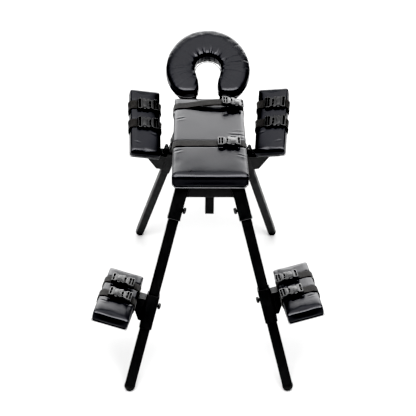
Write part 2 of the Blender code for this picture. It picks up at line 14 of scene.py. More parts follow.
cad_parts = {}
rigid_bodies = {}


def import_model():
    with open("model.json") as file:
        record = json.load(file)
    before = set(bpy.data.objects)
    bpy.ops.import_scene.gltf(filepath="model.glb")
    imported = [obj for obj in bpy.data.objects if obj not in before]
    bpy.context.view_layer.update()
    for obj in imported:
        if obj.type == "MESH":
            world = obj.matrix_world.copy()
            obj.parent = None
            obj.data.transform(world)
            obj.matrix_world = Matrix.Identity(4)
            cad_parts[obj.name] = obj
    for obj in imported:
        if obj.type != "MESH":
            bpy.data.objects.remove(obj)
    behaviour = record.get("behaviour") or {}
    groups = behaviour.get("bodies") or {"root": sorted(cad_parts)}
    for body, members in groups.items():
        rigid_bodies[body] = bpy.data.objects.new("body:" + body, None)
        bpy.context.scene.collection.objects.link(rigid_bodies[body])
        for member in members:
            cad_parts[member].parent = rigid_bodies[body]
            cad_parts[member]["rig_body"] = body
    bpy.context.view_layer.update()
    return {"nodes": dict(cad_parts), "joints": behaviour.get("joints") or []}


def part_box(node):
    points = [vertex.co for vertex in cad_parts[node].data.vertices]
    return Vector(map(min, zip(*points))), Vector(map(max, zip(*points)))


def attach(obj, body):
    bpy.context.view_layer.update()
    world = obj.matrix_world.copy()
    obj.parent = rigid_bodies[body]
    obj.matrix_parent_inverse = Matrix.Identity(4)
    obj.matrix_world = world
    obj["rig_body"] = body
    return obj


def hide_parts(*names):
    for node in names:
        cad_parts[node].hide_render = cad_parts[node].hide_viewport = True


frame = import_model()
NODES = frame["nodes"]
JOINTS = {joint["name"]: joint for joint in frame["joints"]}
SIDES = {"left": -1.0, "right": 1.0}
SCENE = bpy.context.scene


# ---------------------------------------------------------------- frames read from the CAD
def axes(x, y, z, origin=(0, 0, 0)):
    made = Matrix((x, y, z)).transposed().to_4x4()
    made.translation = origin
    return made


def read(mesh, name="co"):
    """A vector that each vertex of a mesh has, as rows of an array."""
    out = np.empty(len(mesh.vertices) * 3)
    mesh.vertices.foreach_get(name, out)
    return out.reshape(-1, 3)


def points_in(at, node):
    """A CAD solid's vertices in a frame."""
    inverse = np.array(at.inverted())
    return read(NODES[node].data) @ inverse[:3, :3].T + inverse[:3, 3]


def flat_directions(obj):
    """The normals of a CAD solid with the largest total area, largest first."""
    totals = {}
    for face in obj.data.polygons:
        key = tuple(round(c, 2) for c in face.normal)
        area, summed = totals.get(key, (0.0, Vector()))
        totals[key] = (area + face.area, summed + face.normal * face.area)
    return [summed.normalized() for _, (_, summed) in sorted(totals.items(), key=lambda kv: -kv[1][0])]


def pad_frame(node):
    """(matrix, width, length, thickness): X across, Y along, Z out of the pad's top, origin on its top."""
    obj = NODES[node]
    found = flat_directions(obj)
    up = next(n for n in found if n.z > 0.7)
    across = next(n for n in found if abs(n.dot(up)) < 0.2 and n.x > 0.7)
    across = (across - up * across.dot(up)).normalized()
    along = up.cross(across)
    points = read(obj.data) @ np.array((across, along, up)).T
    low, high = points.min(0), points.max(0)
    middle = (low + high) / 2
    origin = across * middle[0] + along * middle[1] + up * high[2]
    return (axes(across, along, up, origin), *(high - low))


def place_on(pad, node):
    """The middle of a CAD solid in a pad's frame."""
    local = points_in(pad, node)
    return Vector((local.min(0) + local.max(0)) / 2)


def joint_frame(name):
    """Z along a joint's axis, origin on it."""
    joint = JOINTS[name]
    z = Vector(joint["axis"]).normalized()
    side = Vector((0, 0, 1)) if abs(z.z) < 0.8 else Vector((0, 1, 0))
    x = side.cross(z).normalized()
    return axes(x, z.cross(x), z, Vector(joint.get("pos_m", (0, 0, 0))))


# ---------------------------------------------------------------- node materials
class Nodes:
    """A thin hand for building a material's node tree."""

    def __init__(self, name):
        self.material = bpy.data.materials.new(name)
        self.material.use_nodes = True
        self.tree = self.material.node_tree
        self.shader = self.tree.nodes["Principled BSDF"]

    def add(self, kind, **values):
        node = self.tree.nodes.new("ShaderNode" + kind)
        inputs = values.pop("inputs", {})
        for key, value in values.items():
            setattr(node, key, value)
        for key, value in inputs.items():
            self.put(node.inputs[key], value)
        return node

    def put(self, socket, value):
        if isinstance(value, bpy.types.NodeSocket):
            self.tree.links.new(value, socket)
        else:
            socket.default_value = value

    def coords(self, kind="Object", scale=(1, 1, 1)):
        source = self.add("TexCoord").outputs[kind]
        return self.add("Mapping", inputs={"Vector": source, "Scale": scale}).outputs["Vector"]

    def noise(self, at, scale, detail=3.0, roughness=0.55):
        return self.add("TexNoise", inputs={"Vector": at, "Scale": scale, "Detail": detail,
                                            "Roughness": roughness}).outputs["Fac"]

    def ramp(self, fac, *stops):
        node = self.add("ValToRGB", inputs={"Fac": fac})
        elements = node.color_ramp.elements
        for element, (place, colour) in zip(elements, (stops[0], stops[-1])):
            element.position, element.color = place, (*colour, 1.0)
        for place, colour in stops[1:-1]:
            elements.new(place).color = (*colour, 1.0)
        return node.outputs["Color"]

    def range(self, value, low, high, to_low, to_high):
        return self.add("MapRange", inputs={"Value": value, "From Min": low, "From Max": high,
                                            "To Min": to_low, "To Max": to_high}).outputs["Result"]

    def maths(self, operation, a, b=0.0):
        return self.add("Math", operation=operation, inputs={0: a, 1: b}).outputs[0]

    def bump(self, height, strength, distance, after=None):
        node = self.add("Bump", inputs={"Height": height, "Strength": strength, "Distance": distance})
        if after is not None:
            self.put(node.inputs["Normal"], after)
        return node.outputs["Normal"]

    def finish(self, **sockets):
        for key, value in sockets.items():
            self.put(self.shader.inputs[key.replace("_", " ")], value)
        return self.material


def leatherette(name, dark, light, rough=0.36):
    """Soft embossed vinyl: pebbled grain, faint stretch marks and a slightly uneven sheen."""
    n = Nodes(name)
    at = n.coords()
    pebbles = n.add("TexVoronoi", feature="SMOOTH_F1",
                    inputs={"Vector": at, "Scale": 1150.0}).outputs["Distance"]
    fine = n.noise(at, 2600.0, 2.0)
    broad = n.noise(at, 9.0, 3.0, 0.6)
    stretch = n.noise(n.coords(scale=(1.0, 0.35, 1.0)), 42.0, 2.0, 0.4)
    normal = n.bump(pebbles, 0.16, 0.00012)
    normal = n.bump(fine, 0.10, 0.00005, normal)
    normal = n.bump(stretch, 0.12, 0.0011, normal)
    return n.finish(Base_Color=n.ramp(broad, (0.30, dark), (0.72, light)),
                    Roughness=n.range(broad, 0.3, 0.7, rough - 0.03, rough + 0.05),
                    Normal=normal, Specular_IOR_Level=0.28, Specular_Tint=(0.95, 0.95, 1.0, 1.0))


def webbing(name, dark, light):
    """Woven strap: ribs across its width over warp bands. UV is in metres."""
    n = Nodes(name)
    at = n.coords("UV")
    ribs = n.add("TexWave", wave_type="BANDS", bands_direction="X",
                 inputs={"Vector": at, "Scale": 255.0}).outputs["Fac"]
    warp = n.add("TexWave", wave_type="BANDS", bands_direction="Y",
                 inputs={"Vector": at, "Scale": 170.0}).outputs["Fac"]
    fluff = n.noise(at, 900.0, 3.0, 0.7)
    wear = n.noise(at, 30.0, 3.0)
    weave = n.maths("ADD", n.maths("MULTIPLY", ribs, warp), n.maths("MULTIPLY", fluff, 0.35))
    shade = n.maths("ADD", n.maths("MULTIPLY", weave, 0.55), n.maths("MULTIPLY", wear, 0.5))
    return n.finish(Base_Color=n.ramp(shade, (0.22, dark), (0.85, light)), Roughness=0.78,
                    Normal=n.bump(weave, 0.55, 0.00035), Specular_IOR_Level=0.16, Sheen_Weight=0.07,
                    Sheen_Roughness=0.45)


def moulded(name, dark, light, rough, grain=0.10, level=0.5):
    """Moulded plastic or rubber with a spark-eroded texture."""
    n = Nodes(name)
    at = n.coords()
    eroded = n.noise(at, 1900.0, 3.0, 0.65)
    flow = n.noise(at, 38.0, 2.0)
    return n.finish(Base_Color=n.ramp(flow, (0.3, dark), (0.7, light)),
                    Roughness=n.range(eroded, 0.3, 0.7, rough - 0.05, rough + 0.07),
                    Normal=n.bump(eroded, grain, 0.00016), Specular_IOR_Level=level)


def powder_coat(name, dark, light, rough=0.46, level=0.32):
    """Black powder coat: orange peel, a few rubbed and dusty patches."""
    n = Nodes(name)
    at = n.coords()
    peel = n.noise(at, 1100.0, 2.0, 0.5)
    dust = n.noise(at, 17.0, 4.0, 0.62)
    rubbed = n.noise(n.coords(scale=(1, 1, 0.15)), 75.0, 3.0)
    shade = n.maths("MULTIPLY", dust, rubbed)
    return n.finish(Base_Color=n.ramp(shade, (0.12, dark), (0.52, light)),
                    Roughness=n.range(dust, 0.3, 0.7, rough - 0.06, rough + 0.08),
                    Normal=n.bump(peel, 0.22, 0.00012), Specular_IOR_Level=level)


def plywood(name):
    """Bare plywood: long grain and pores."""
    n = Nodes(name)
    at = n.coords(scale=(1.0, 0.06, 1.0))
    grain = n.add("TexWave", wave_type="BANDS", bands_direction="X",
                  inputs={"Vector": at, "Scale": 30.0, "Distortion": 5.0, "Detail": 4.0,
                          "Detail Scale": 2.0}).outputs["Fac"]
    pores = n.noise(n.coords(scale=(1, 0.03, 1)), 900.0, 2.0)
    shade = n.maths("ADD", n.maths("MULTIPLY", grain, 0.6), n.maths("MULTIPLY", pores, 0.4))
    return n.finish(Base_Color=n.ramp(shade, (0.2, (0.20, 0.125, 0.062)), (0.55, (0.36, 0.245, 0.135)),
                                      (0.9, (0.46, 0.33, 0.20))),
                    Roughness=0.62, Normal=n.bump(shade, 0.2, 0.0003))


def plated(name, colour, rough):
    """Zinc or blackened steel hardware with fine turning marks."""
    n = Nodes(name)
    at = n.coords()
    marks = n.noise(at, 700.0, 2.0)
    return n.finish(Base_Color=(*colour, 1), Metallic=1.0,
                    Roughness=n.range(marks, 0.3, 0.7, rough - 0.05, rough + 0.1),
                    Normal=n.bump(marks, 0.12, 0.0001))


VINYL = leatherette("leatherette", (0.0035, 0.0036, 0.0042), (0.0058, 0.0060, 0.0070), 0.30)
WEBBING = webbing("webbing", (0.005, 0.0049, 0.0048), (0.025, 0.0238, 0.023))
BUCKLE = moulded("buckle_acetal", (0.014, 0.014, 0.0143), (0.026, 0.026, 0.0265), 0.36, 0.30, 0.5)
# A darker copy of the buckle plastic for the arm rests' buckles: painted shade, since those buckles face away
# from the lights.
BUCKLE_PAINTED_SHADE = moulded("buckle_acetal_painted_shade", (0.006, 0.006, 0.0063), (0.012, 0.012, 0.0125), 0.42, 0.20, 0.3)
PLASTIC = moulded("black_plastic", (0.009, 0.009, 0.0095), (0.015, 0.015, 0.0155), 0.42, 0.25)
RUBBER = moulded("black_rubber", (0.007, 0.007, 0.007), (0.014, 0.0138, 0.0135), 0.66, 0.5, 0.3)
STEEL = powder_coat("powder_coat", (0.0045, 0.0045, 0.0048), (0.0080, 0.0080, 0.0082))
WELD = powder_coat("weld", (0.006, 0.006, 0.0062), (0.012, 0.012, 0.012), 0.38)
PLYWOOD = plywood("plywood")
BOLT = plated("blackened_steel", (0.10, 0.10, 0.105), 0.35)
# The edge binding's light grey is partly painted highlight: a real strip, toned lighter to stand for the
# light caught along each pad's bottom edge.
BINDING_PAINTED_HIGHLIGHT = moulded("edge_binding_painted_highlight", (0.10, 0.10, 0.105), (0.15, 0.15, 0.155), 0.42, 0.2)


# ---------------------------------------------------------------- mesh helpers
def meshed(bm, name):
    """The mesh of a bmesh, which it frees."""
    mesh = bpy.data.meshes.new(name)
    bm.to_mesh(mesh)
    bm.free()
    return mesh


def piece(name, mesh, matrix, look, body, nodes=(), sharp=None):
    """A new piece in place, riding on a body, and standing for some CAD nodes."""
    obj = bpy.data.objects.new(name, mesh)
    SCENE.collection.objects.link(obj)
    obj.matrix_world = matrix
    if not mesh.materials:
        mesh.materials.append(look)
    mesh.shade_smooth()
    if sharp:
        mesh.set_sharp_from_angle(angle=math.radians(sharp))
    bpy.context.view_layer.update()
    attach(obj, body)
    if nodes:
        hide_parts(*nodes)
    return obj


def body_of(node):
    """The body a CAD node rides on."""
    return NODES[node]["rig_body"]


def baked(obj):
    """The object's evaluated mesh as a new one, and the object removed."""
    graph = bpy.context.evaluated_depsgraph_get()
    mesh = bpy.data.meshes.new_from_object(obj.evaluated_get(graph))
    bpy.data.objects.remove(obj)
    return mesh


def with_modifiers(mesh, *steps):
    """A mesh after modifiers: each step is (type, {setting: value})."""
    obj = bpy.data.objects.new("work", mesh)
    SCENE.collection.objects.link(obj)
    for kind, settings in steps:
        step = obj.modifiers.new(kind.lower(), kind)
        for key, value in settings.items():
            setattr(step, key, value)
    return baked(obj)


def plate(outlines, low, high, rounding=0.0, segments=3):
    """Outlines in XY filled between two heights, their edges rounded."""
    curve = bpy.data.curves.new("outline", "CURVE")
    curve.dimensions = "2D"
    curve.fill_mode = "BOTH"
    curve.extrude = (high - low) / 2
    for outline in outlines:
        spline = curve.splines.new("POLY")
        spline.points.add(len(outline) - 1)
        for point, (x, y) in zip(spline.points, outline):
            point.co = (x, y, 0.0, 1.0)
        spline.use_cyclic_u = True
    obj = bpy.data.objects.new("outline", curve)
    SCENE.collection.objects.link(obj)
    mesh = baked(obj)
    bm = bmesh.new()
    bm.from_mesh(mesh)
    bmesh.ops.remove_doubles(bm, verts=bm.verts, dist=0.00002)
    bmesh.ops.translate(bm, vec=(0, 0, (low + high) / 2), verts=bm.verts)
    bmesh.ops.dissolve_limit(bm, angle_limit=0.01, verts=bm.verts, edges=bm.edges)
    bmesh.ops.recalc_face_normals(bm, faces=bm.faces)
    bm.to_mesh(mesh)
    bm.free()
    if rounding:
        mesh = with_modifiers(mesh, ("BEVEL", {"width": rounding, "segments": segments,
                                               "limit_method": "ANGLE",
                                               "angle_limit": math.radians(40), "harden_normals": False}))
    return mesh


def together(*parts):
    """One mesh from meshes and (mesh, matrix) pairs."""
    bm = bmesh.new()
    for part in parts:
        mesh, matrix = part if isinstance(part, tuple) else (part, Matrix())
        copy = mesh.copy()
        copy.transform(matrix)
        bm.from_mesh(copy)
        bpy.data.meshes.remove(copy)
    return meshed(bm, "joined")


def block(size, centre, rounding, segments=3):
    """A box with its edges rounded."""
    bm = bmesh.new()
    bmesh.ops.create_cube(bm, size=1.0)
    bmesh.ops.scale(bm, vec=size, verts=bm.verts)
    bmesh.ops.translate(bm, vec=centre, verts=bm.verts)
    if rounding:
        bmesh.ops.bevel(bm, geom=list(bm.edges), offset=rounding, segments=segments, profile=0.5,
                        affect="EDGES")
    return meshed(bm, "block")


def turned(profile, steps=48, lobes=0, depth=0.0):
    """A solid of revolution about Z from (radius, z), its wide part fluted by a number of lobes."""
    bm = bmesh.new()
    widest = max(radius for radius, _ in profile)
    rings = []
    for radius, z in profile:
        if radius < 1e-6:
            rings.append([bm.verts.new((0, 0, z))])
            continue
        flute = depth * max(0.0, (radius / widest - 0.72) / 0.28)
        ring = []
        for i in range(steps):
            a = 2 * math.pi * i / steps
            r = radius - flute * (0.5 - 0.5 * math.cos(lobes * a)) if lobes else radius
            ring.append(bm.verts.new((r * math.cos(a), r * math.sin(a), z)))
        rings.append(ring)
    for upper, lower in zip(rings, rings[1:]):
        for i in range(steps):
            j = (i + 1) % steps
            corners = [upper[i % len(upper)], lower[i % len(lower)], lower[j % len(lower)],
                       upper[j % len(upper)]]
            corners = list(dict.fromkeys(corners))
            if len(corners) > 2:
                bm.faces.new(corners)
    bmesh.ops.recalc_face_normals(bm, faces=bm.faces)
    return meshed(bm, "turned")


def smooth_path(points, spacing):
    """A Catmull-Rom curve through points, as points an even distance apart."""
    points = [Vector(p) for p in points]
    ends = [2 * points[0] - points[1]] + points + [2 * points[-1] - points[-2]]
    fine = []
    for a, b, c, d in zip(ends, ends[1:], ends[2:], ends[3:]):
        for i in range(16):
            t = i / 16
            fine.append(0.5 * (2 * b + (c - a) * t + (2 * a - 5 * b + 4 * c - d) * t * t
                               + (3 * b - a - 3 * c + d) * t ** 3))
    fine.append(points[-1])
    lengths = np.concatenate([[0], np.cumsum([(q - p).length for p, q in zip(fine, fine[1:])])])
    count = max(4, int(round(lengths[-1] / spacing)))
    wanted = np.linspace(0, lengths[-1], count + 1)
    flat = np.array(fine)
    return [Vector([float(np.interp(s, lengths, flat[:, k])) for k in range(3)]) for s in wanted]


def bead(points, radius, closed=False, lumps=0.0, seed=0):
    """A weld bead or a welt: a round tube along points, its radius uneven by lumps."""
    curve = bpy.data.curves.new("bead", "CURVE")
    curve.dimensions = "3D"
    curve.bevel_depth = radius
    curve.bevel_resolution = 3
    curve.use_fill_caps = not closed
    spline = curve.splines.new("POLY")
    spline.points.add(len(points) - 1)
    for i, (point, place) in enumerate(zip(spline.points, points)):
        point.co = (*place, 1.0)
        point.radius = 1.0 + lumps * math.sin(i * 2.1 + seed) * (0.6 + 0.4 * math.sin(i * 0.7 + seed))
    spline.use_cyclic_u = closed
    obj = bpy.data.objects.new("bead", curve)
    SCENE.collection.objects.link(obj)
    return baked(obj)


# ---------------------------------------------------------------- padded covers
PRESSURE = 4.0                              # of the cloth that stretches a cover
PRESS_HALF, PRESS_SOFT = 0.0165, 0.012      # a strap's pressed-in line: half its width, and its shoulder
TOP_UNEVEN, SIDE_RIPPLE = 0.00035, 0.00055
PLEAT_TURNS, PLEAT_WIDE, PLEAT_DEPTH = (0.55, 1.02), 0.16, 0.0011


def smoothed(mesh, values, rounds):
    """Per-vertex values averaged with their neighbours, to take out the remeshed grid's unevenness."""
    edges = np.empty(len(mesh.edges) * 2, dtype=np.int64)
    mesh.edges.foreach_get("vertices", edges)
    a, b = edges.reshape(-1, 2).T
    count = np.bincount(edges, minlength=len(values))[:, None]
    for _ in range(rounds):
        total = np.zeros_like(values)
        np.add.at(total, a, values[b])
        np.add.at(total, b, values[a])
        values = 0.5 * values + 0.5 * total / count
    return values


def inflate(mesh, voxel, pressure, cap, held, frames=20):
    """Stretches a cover over its foam: cloth under pressure, each point's move capped, some points held."""
    mesh = with_modifiers(mesh, ("REMESH", {"mode": "VOXEL", "voxel_size": voxel}))
    start, normals = read(mesh), read(mesh, "normal")
    fixed = [i for i, p in enumerate(start) if held(p)]
    obj = bpy.data.objects.new("cover", mesh)
    SCENE.collection.objects.link(obj)
    obj.vertex_groups.new(name="held").add(fixed, 1.0, "REPLACE")
    cloth = obj.modifiers.new("cloth", "CLOTH")
    settings = cloth.settings
    settings.vertex_group_mass = "held"
    settings.use_pressure = True
    settings.uniform_pressure_force = pressure
    settings.effector_weights.gravity = 0.0
    settings.quality = 5
    settings.mass = 0.3
    settings.tension_stiffness = settings.compression_stiffness = 9.0
    settings.shear_stiffness = 4.0
    settings.bending_stiffness = 0.8
    cloth.collision_settings.use_collision = False
    cloth.point_cache.frame_start, cloth.point_cache.frame_end = 1, frames
    for number in range(1, frames + 1):
        SCENE.frame_set(number)
    graph = bpy.context.evaluated_depsgraph_get()
    step = read(obj.evaluated_get(graph).to_mesh()) - start
    SCENE.frame_set(1)
    bpy.data.objects.remove(obj)
    out = np.clip((step * normals).sum(1), -0.0004, cap)
    sideways = step - normals * (step * normals).sum(1)[:, None]
    step = smoothed(mesh, normals * out[:, None] + 0.3 * sideways, 8)
    step[fixed] = 0
    far = np.linalg.norm(step, axis=1, keepdims=True)
    step *= np.minimum(1.0, cap / np.maximum(far, 1e-9))
    mesh.vertices.foreach_set("co", (start + step).ravel())
    mesh.update()
    return with_modifiers(mesh, ("SUBSURF", {"levels": 1, "render_levels": 1}))


def displace(mesh, change):
    """Moves each vertex by change(position, normal): a vector, or a distance along the normal."""
    moved = []
    for vertex in mesh.vertices:
        step = change(vertex.co, vertex.normal)
        moved.append(vertex.co + (step if isinstance(step, Vector) else vertex.normal * step))
    for vertex, place in zip(mesh.vertices, moved):
        vertex.co = place
    mesh.update()


def window(value, middle, half, soft):
    """1 within half of middle, falling to 0 over soft."""
    over = abs(value - middle) - half
    if over <= 0:
        return 1.0
    return (1.0 - over / soft) ** 2 * (1 + 2 * over / soft) if over < soft else 0.0


def crease(point, start, end, wide, depth):
    """Depth of a crease that runs from start to end in XY."""
    along = Vector((end[0] - start[0], end[1] - start[1]))
    rel = Vector((point.x - start[0], point.y - start[1]))
    t = max(0.0, min(1.0, rel.dot(along) / along.length_squared))
    away = (rel - along * t).length
    fade = math.sin(math.pi * t) ** 0.7 if 0 < t < 1 else 0.0
    valley, ridge = math.exp(-(away / wide) ** 2), math.exp(-((away - 2.2 * wide) / wide) ** 2)
    return depth * fade * (0.6 * ridge - valley)


def cover_mesh(width, length, thickness, corner=0.010, edge=0.0065, shrink=0.0012):
    """A box cushion's foam: rounded upright corners and a smaller rounding along its top."""
    bm = bmesh.new()
    bmesh.ops.create_cube(bm, size=1.0)
    bmesh.ops.scale(bm, vec=(width - 2 * shrink, length - 2 * shrink, thickness - shrink), verts=bm.verts)
    bmesh.ops.translate(bm, vec=(0, 0, -(thickness + shrink) / 2), verts=bm.verts)
    upright = [e for e in bm.edges if abs(e.verts[0].co.z - e.verts[1].co.z) > 0.01]
    bmesh.ops.bevel(bm, geom=upright, offset=corner, segments=4, profile=0.5, affect="EDGES")
    rim = [e for e in bm.edges if min(v.co.z for v in e.verts) > -0.01 and len(e.link_faces) == 2
           and abs(e.link_faces[0].normal.z - e.link_faces[1].normal.z) > 0.5]
    bmesh.ops.bevel(bm, geom=rim, offset=edge, segments=3, profile=0.5, affect="EDGES")
    return meshed(bm, "cover")


def fitted(mesh, low, high):
    """Stretches a mesh to a box, since remeshing shrinks it a little."""
    points = read(mesh)
    now_low, now_high = points.min(0), points.max(0)
    low, high = np.array(low), np.array(high)
    points = low + (points - now_low) * (high - low) / (now_high - now_low)
    mesh.vertices.foreach_set("co", points.ravel())
    mesh.update()
    return mesh


def proud(p, size, swell):
    """How far a cover stands out of its pad at a point.

    swell is how far at its sides by the far end, at its sides by the near end, at the far and the near end.
    """
    width, length, thickness = size
    rise = min(1.0, max(0.0, (p.z + thickness - 0.005) / 0.012))
    rise *= rise * (3 - 2 * rise)
    along = 2 * p.y / length
    sides = swell[0] + (swell[1] - swell[0]) * (0.5 - along / 2)
    return Vector((2 * p.x / width * sides * rise, along * (swell[2] if along > 0 else swell[3]) * rise, 0))


def box_cover(width, length, thickness, voxel, cap, straps, strap_press, creases=(), seed=0.0, corner=0.010,
              edge=0.0065, roll=(0.030, 0.0215), crown=(0.06, 0.0), swell=(0.0025, 0.0025, 0.005, 0.002)):
    """A stretched box cushion with pressed-in strap lines, corner pleats, pull marks and creases."""
    mesh = cover_mesh(width, length, thickness, corner, edge)
    mesh = inflate(mesh, voxel, PRESSURE, cap, lambda p: p[2] < -thickness + 0.009)
    half_w, half_l = width / 2, length / 2
    over = 0.0004
    mesh = fitted(mesh, (-half_w - over, -half_l - over, -thickness), (half_w + over, half_l + over, 0.0012))

    def near_end(p, n):
        """The top slopes gently, then rolls down to its seam at the near end."""
        radius, run = roll
        inside = max(0.0, p.y + half_l)
        drop = radius - math.sqrt(radius ** 2 - (run * max(0.0, 1.0 - inside / run)) ** 2)
        drop += crown[1] * max(0.0, 1.0 - inside / crown[0]) ** 2
        return Vector((0, 0, -drop * min(1.0, max(0.0, 1.0 + p.z / (0.8 * thickness)))))

    displace(mesh, near_end)

    def detail(p, n):
        out = 0.0
        for place in straps:
            press = window(p.y, place, PRESS_HALF, PRESS_SOFT)
            harder = 1.0 if abs(p.x) > half_w - 0.02 else 0.45
            shoulder = 0.5 if abs(n.x) > 0.6 and p.z > -0.02 else 0.0
            out -= strap_press * press * harder * max(0.0, n.z * 0.8 + 0.2 + shoulder)
        if n.z > 0.5:
            out += TOP_UNEVEN * noise.noise(Vector((p.x * 11 + seed, p.y * 11, 0)))
            for start, end, wide, depth in creases:
                out += crease(p, start, end, wide, depth)
        elif n.z > -0.5 and p.z < -0.006:
            along = p.y if abs(n.x) > abs(n.y) else p.x
            low = min(1.0, max(0.0, (-p.z - 0.006) / thickness))
            out += SIDE_RIPPLE * low * noise.noise(Vector((along * 60 + seed, p.z * 9, 3.1)))
        near_x, near_y = half_w - abs(p.x), half_l - abs(p.y)
        if near_x < 0.05 and near_y < 0.05 and n.z < 0.9:
            turn = math.atan2(near_y, near_x)
            pleat = sum(math.exp(-((turn - at) / PLEAT_WIDE) ** 2) for at in PLEAT_TURNS)
            reach = max(0.0, 1.0 - (near_x ** 2 + near_y ** 2) ** 0.5 / 0.03)
            out -= PLEAT_DEPTH * pleat * reach
        return out

    displace(mesh, detail)
    displace(mesh, lambda p, n: proud(p, (width, length, thickness), swell))
    return mesh


def rounded_box(half_x, half_y, corner, steps):
    """A rectangle's outline with round corners of steps + 1 points each, as (x, y)."""
    return [(sx * (half_x - corner) + corner * math.cos(a), sy * (half_y - corner) + corner * math.sin(a))
            for quarter, (sx, sy) in enumerate(((1, 1), (-1, 1), (-1, -1), (1, -1)))
            for a in np.linspace(quarter, quarter + 1, steps + 1) * math.pi / 2]


def welt_line(width, length, corner, z, steps=7, between=12):
    """A rounded rectangle at a height, as closed path points, its sides divided too."""
    outline = [Vector((x, y, z)) for x, y in rounded_box(width / 2, length / 2, corner, steps)]
    points = []
    for i, point in enumerate(outline):
        points.append(point)
        if i % (steps + 1) == steps:
            following = outline[(i + 1) % len(outline)]
            points += [point.lerp(following, k / between) for k in range(1, between)]
    return points


# ---------------------------------------------------------------- webbing
def band(centres, sides, width=0.038, thickness=0.0019, cup=0.0):
    """A strap along centre points. Each side vector points across its width. UV is in metres."""
    profile = [(-0.5, 0.28), (-0.47, 0.45), (-0.25, 0.5), (0.0, 0.5), (0.25, 0.5), (0.47, 0.45), (0.5, 0.28)]
    bm = bmesh.new()
    layer = bm.loops.layers.uv.new("UVMap")
    count = len(centres)
    rings, run, places = [], 0.0, {}
    for i, (centre, side) in enumerate(zip(centres, sides)):
        tangent = (centres[min(i + 1, count - 1)] - centres[max(i - 1, 0)]).normalized()
        side = (side - tangent * side.dot(tangent)).normalized()
        up = side.cross(tangent)
        if i:
            run += (centre - centres[i - 1]).length
        ring = []
        for sign in (1, -1):
            for across, half in (profile if sign > 0 else profile[::-1]):
                bow = cup * (across * across * 4)
                vertex = bm.verts.new(centre + side * (across * width) + up * (sign * half * thickness + bow))
                places[vertex] = (run, across * width)
                ring.append(vertex)
        rings.append(ring)
    size = len(rings[0])
    faces = []
    for first, second in zip(rings, rings[1:]):
        for k in range(size):
            m = (k + 1) % size
            faces.append(bm.faces.new((first[k], first[m], second[m], second[k])))
    half = len(profile)
    for ring, flip in ((rings[0], True), (rings[-1], False)):
        for k in range(half - 1):
            corners = [ring[k], ring[k + 1], ring[size - 2 - k], ring[size - 1 - k]]
            faces.append(bm.faces.new(corners[::-1] if flip else corners))
    for face in faces:
        for loop in face.loops:
            loop[layer].uv = places[loop.vert]
    bmesh.ops.recalc_face_normals(bm, faces=bm.faces)
    return meshed(bm, "band")


def hugging(path, tree, clear, half_width, side):
    """Path points pushed out until the strap's middle and both its edges clear the cushion."""
    out = []
    for point in path:
        point = point.copy()
        for _ in range(3):
            worst, push = 0.0, None
            for shift in (-half_width, 0.0, half_width):
                near, normal, _, _ = tree.find_nearest(point + side * shift)
                gap = (point + side * shift - near).dot(normal)
                if clear - gap > worst and (point + side * shift - near).length < 0.03:
                    worst, push = clear - gap, normal
            if push is None:
                break
            point += push * worst
        out.append(point)
    return out


# ---------------------------------------------------------------- camera, floor, light
CAMERA_AT, CAMERA_LENS, CAMERA_SENSOR = (-0.068214, -3.547178, 3.090537), 99.52, 36.0
CAMERA_TURN = (-1.2166, 36.65, -0.8134)     # yaw, pitch down and roll, in degrees
# Name, place, the point it faces, size across and down, radiance.
LIGHTS = (("back", (0.2, 5.6, 2.40), (0.2, 0.0, 2.40), (7.0, 4.26), 7.0),
          ("front_key", (0.0, -1.9, 4.4), (0.0, 0.0, 0.6), (4.6, 1.9), 13.0),
          ("ceiling", (0.0, 0.2, 7.0), (0.0, 0.0, 0.0), (9.0, 8.0), 2.5))
WORLD_LIGHT = 0.28
TONES = ((0.036, 0.0032), (0.085, 0.055), (0.20, 0.20))     # the view curve's points: deeper blacks


def make_camera():
    """A long lens, high in front of the foot end."""
    yaw, pitch, roll = (math.radians(a) for a in CAMERA_TURN)
    turn = Matrix.Rotation(yaw, 3, "Z") @ Matrix.Rotation(-pitch, 3, "X") @ Matrix.Rotation(roll, 3, "Y")
    data = bpy.data.cameras.new("camera")
    data.lens, data.sensor_width, data.clip_end = CAMERA_LENS, CAMERA_SENSOR, 100.0
    camera = bpy.data.objects.new("camera", data)
    SCENE.collection.objects.link(camera)
    camera.matrix_world = axes(turn.col[0], turn.col[2], -turn.col[1], CAMERA_AT)
    SCENE.camera = camera


def softbox(name, place, aim, size, radiance):
    """A rectangle of even white light."""
    data = bpy.data.lights.new(name, "AREA")
    data.shape = "RECTANGLE"
    data.size, data.size_y = size
    data.energy = radiance * math.pi * size[0] * size[1]
    light = bpy.data.objects.new(name, data)
    SCENE.collection.objects.link(light)
    light.matrix_world = (Matrix.Translation(place) @
                          (Vector(aim) - Vector(place)).to_track_quat("-Z", "Y").to_matrix().to_4x4())
    light.visible_camera = False


def make_studio():
    """A plain pale floor, white surroundings and soft boxes."""
    bm = bmesh.new()
    bmesh.ops.create_grid(bm, x_segments=8, y_segments=8, size=20.0)
    mesh = meshed(bm, "floor")
    floor = bpy.data.objects.new("floor", mesh)
    SCENE.collection.objects.link(floor)
    n = Nodes("studio_floor")
    at = n.coords()
    tone = n.ramp(n.noise(at, 1.5, 2.0), (0.3, (0.55, 0.55, 0.55)), (0.7, (0.565, 0.565, 0.565)))
    mesh.materials.append(n.finish(Base_Color=tone, Roughness=0.9, Specular_IOR_Level=0.1))
    world = bpy.data.worlds.new("studio")
    world.use_nodes = True
    world.node_tree.nodes["Background"].inputs["Color"].default_value = (1.0, 1.0, 1.0, 1.0)
    world.node_tree.nodes["Background"].inputs["Strength"].default_value = WORLD_LIGHT
    SCENE.world = world
    for light in LIGHTS:
        softbox(*light)
    view = SCENE.view_settings
    view.view_transform, view.look = "Standard", "None"
    view.exposure, view.gamma = 0.0, 1.0
    view.use_curve_mapping = True
    curve = view.curve_mapping.curves[3]
    for point in TONES:
        curve.points.new(*point)
    view.curve_mapping.update()


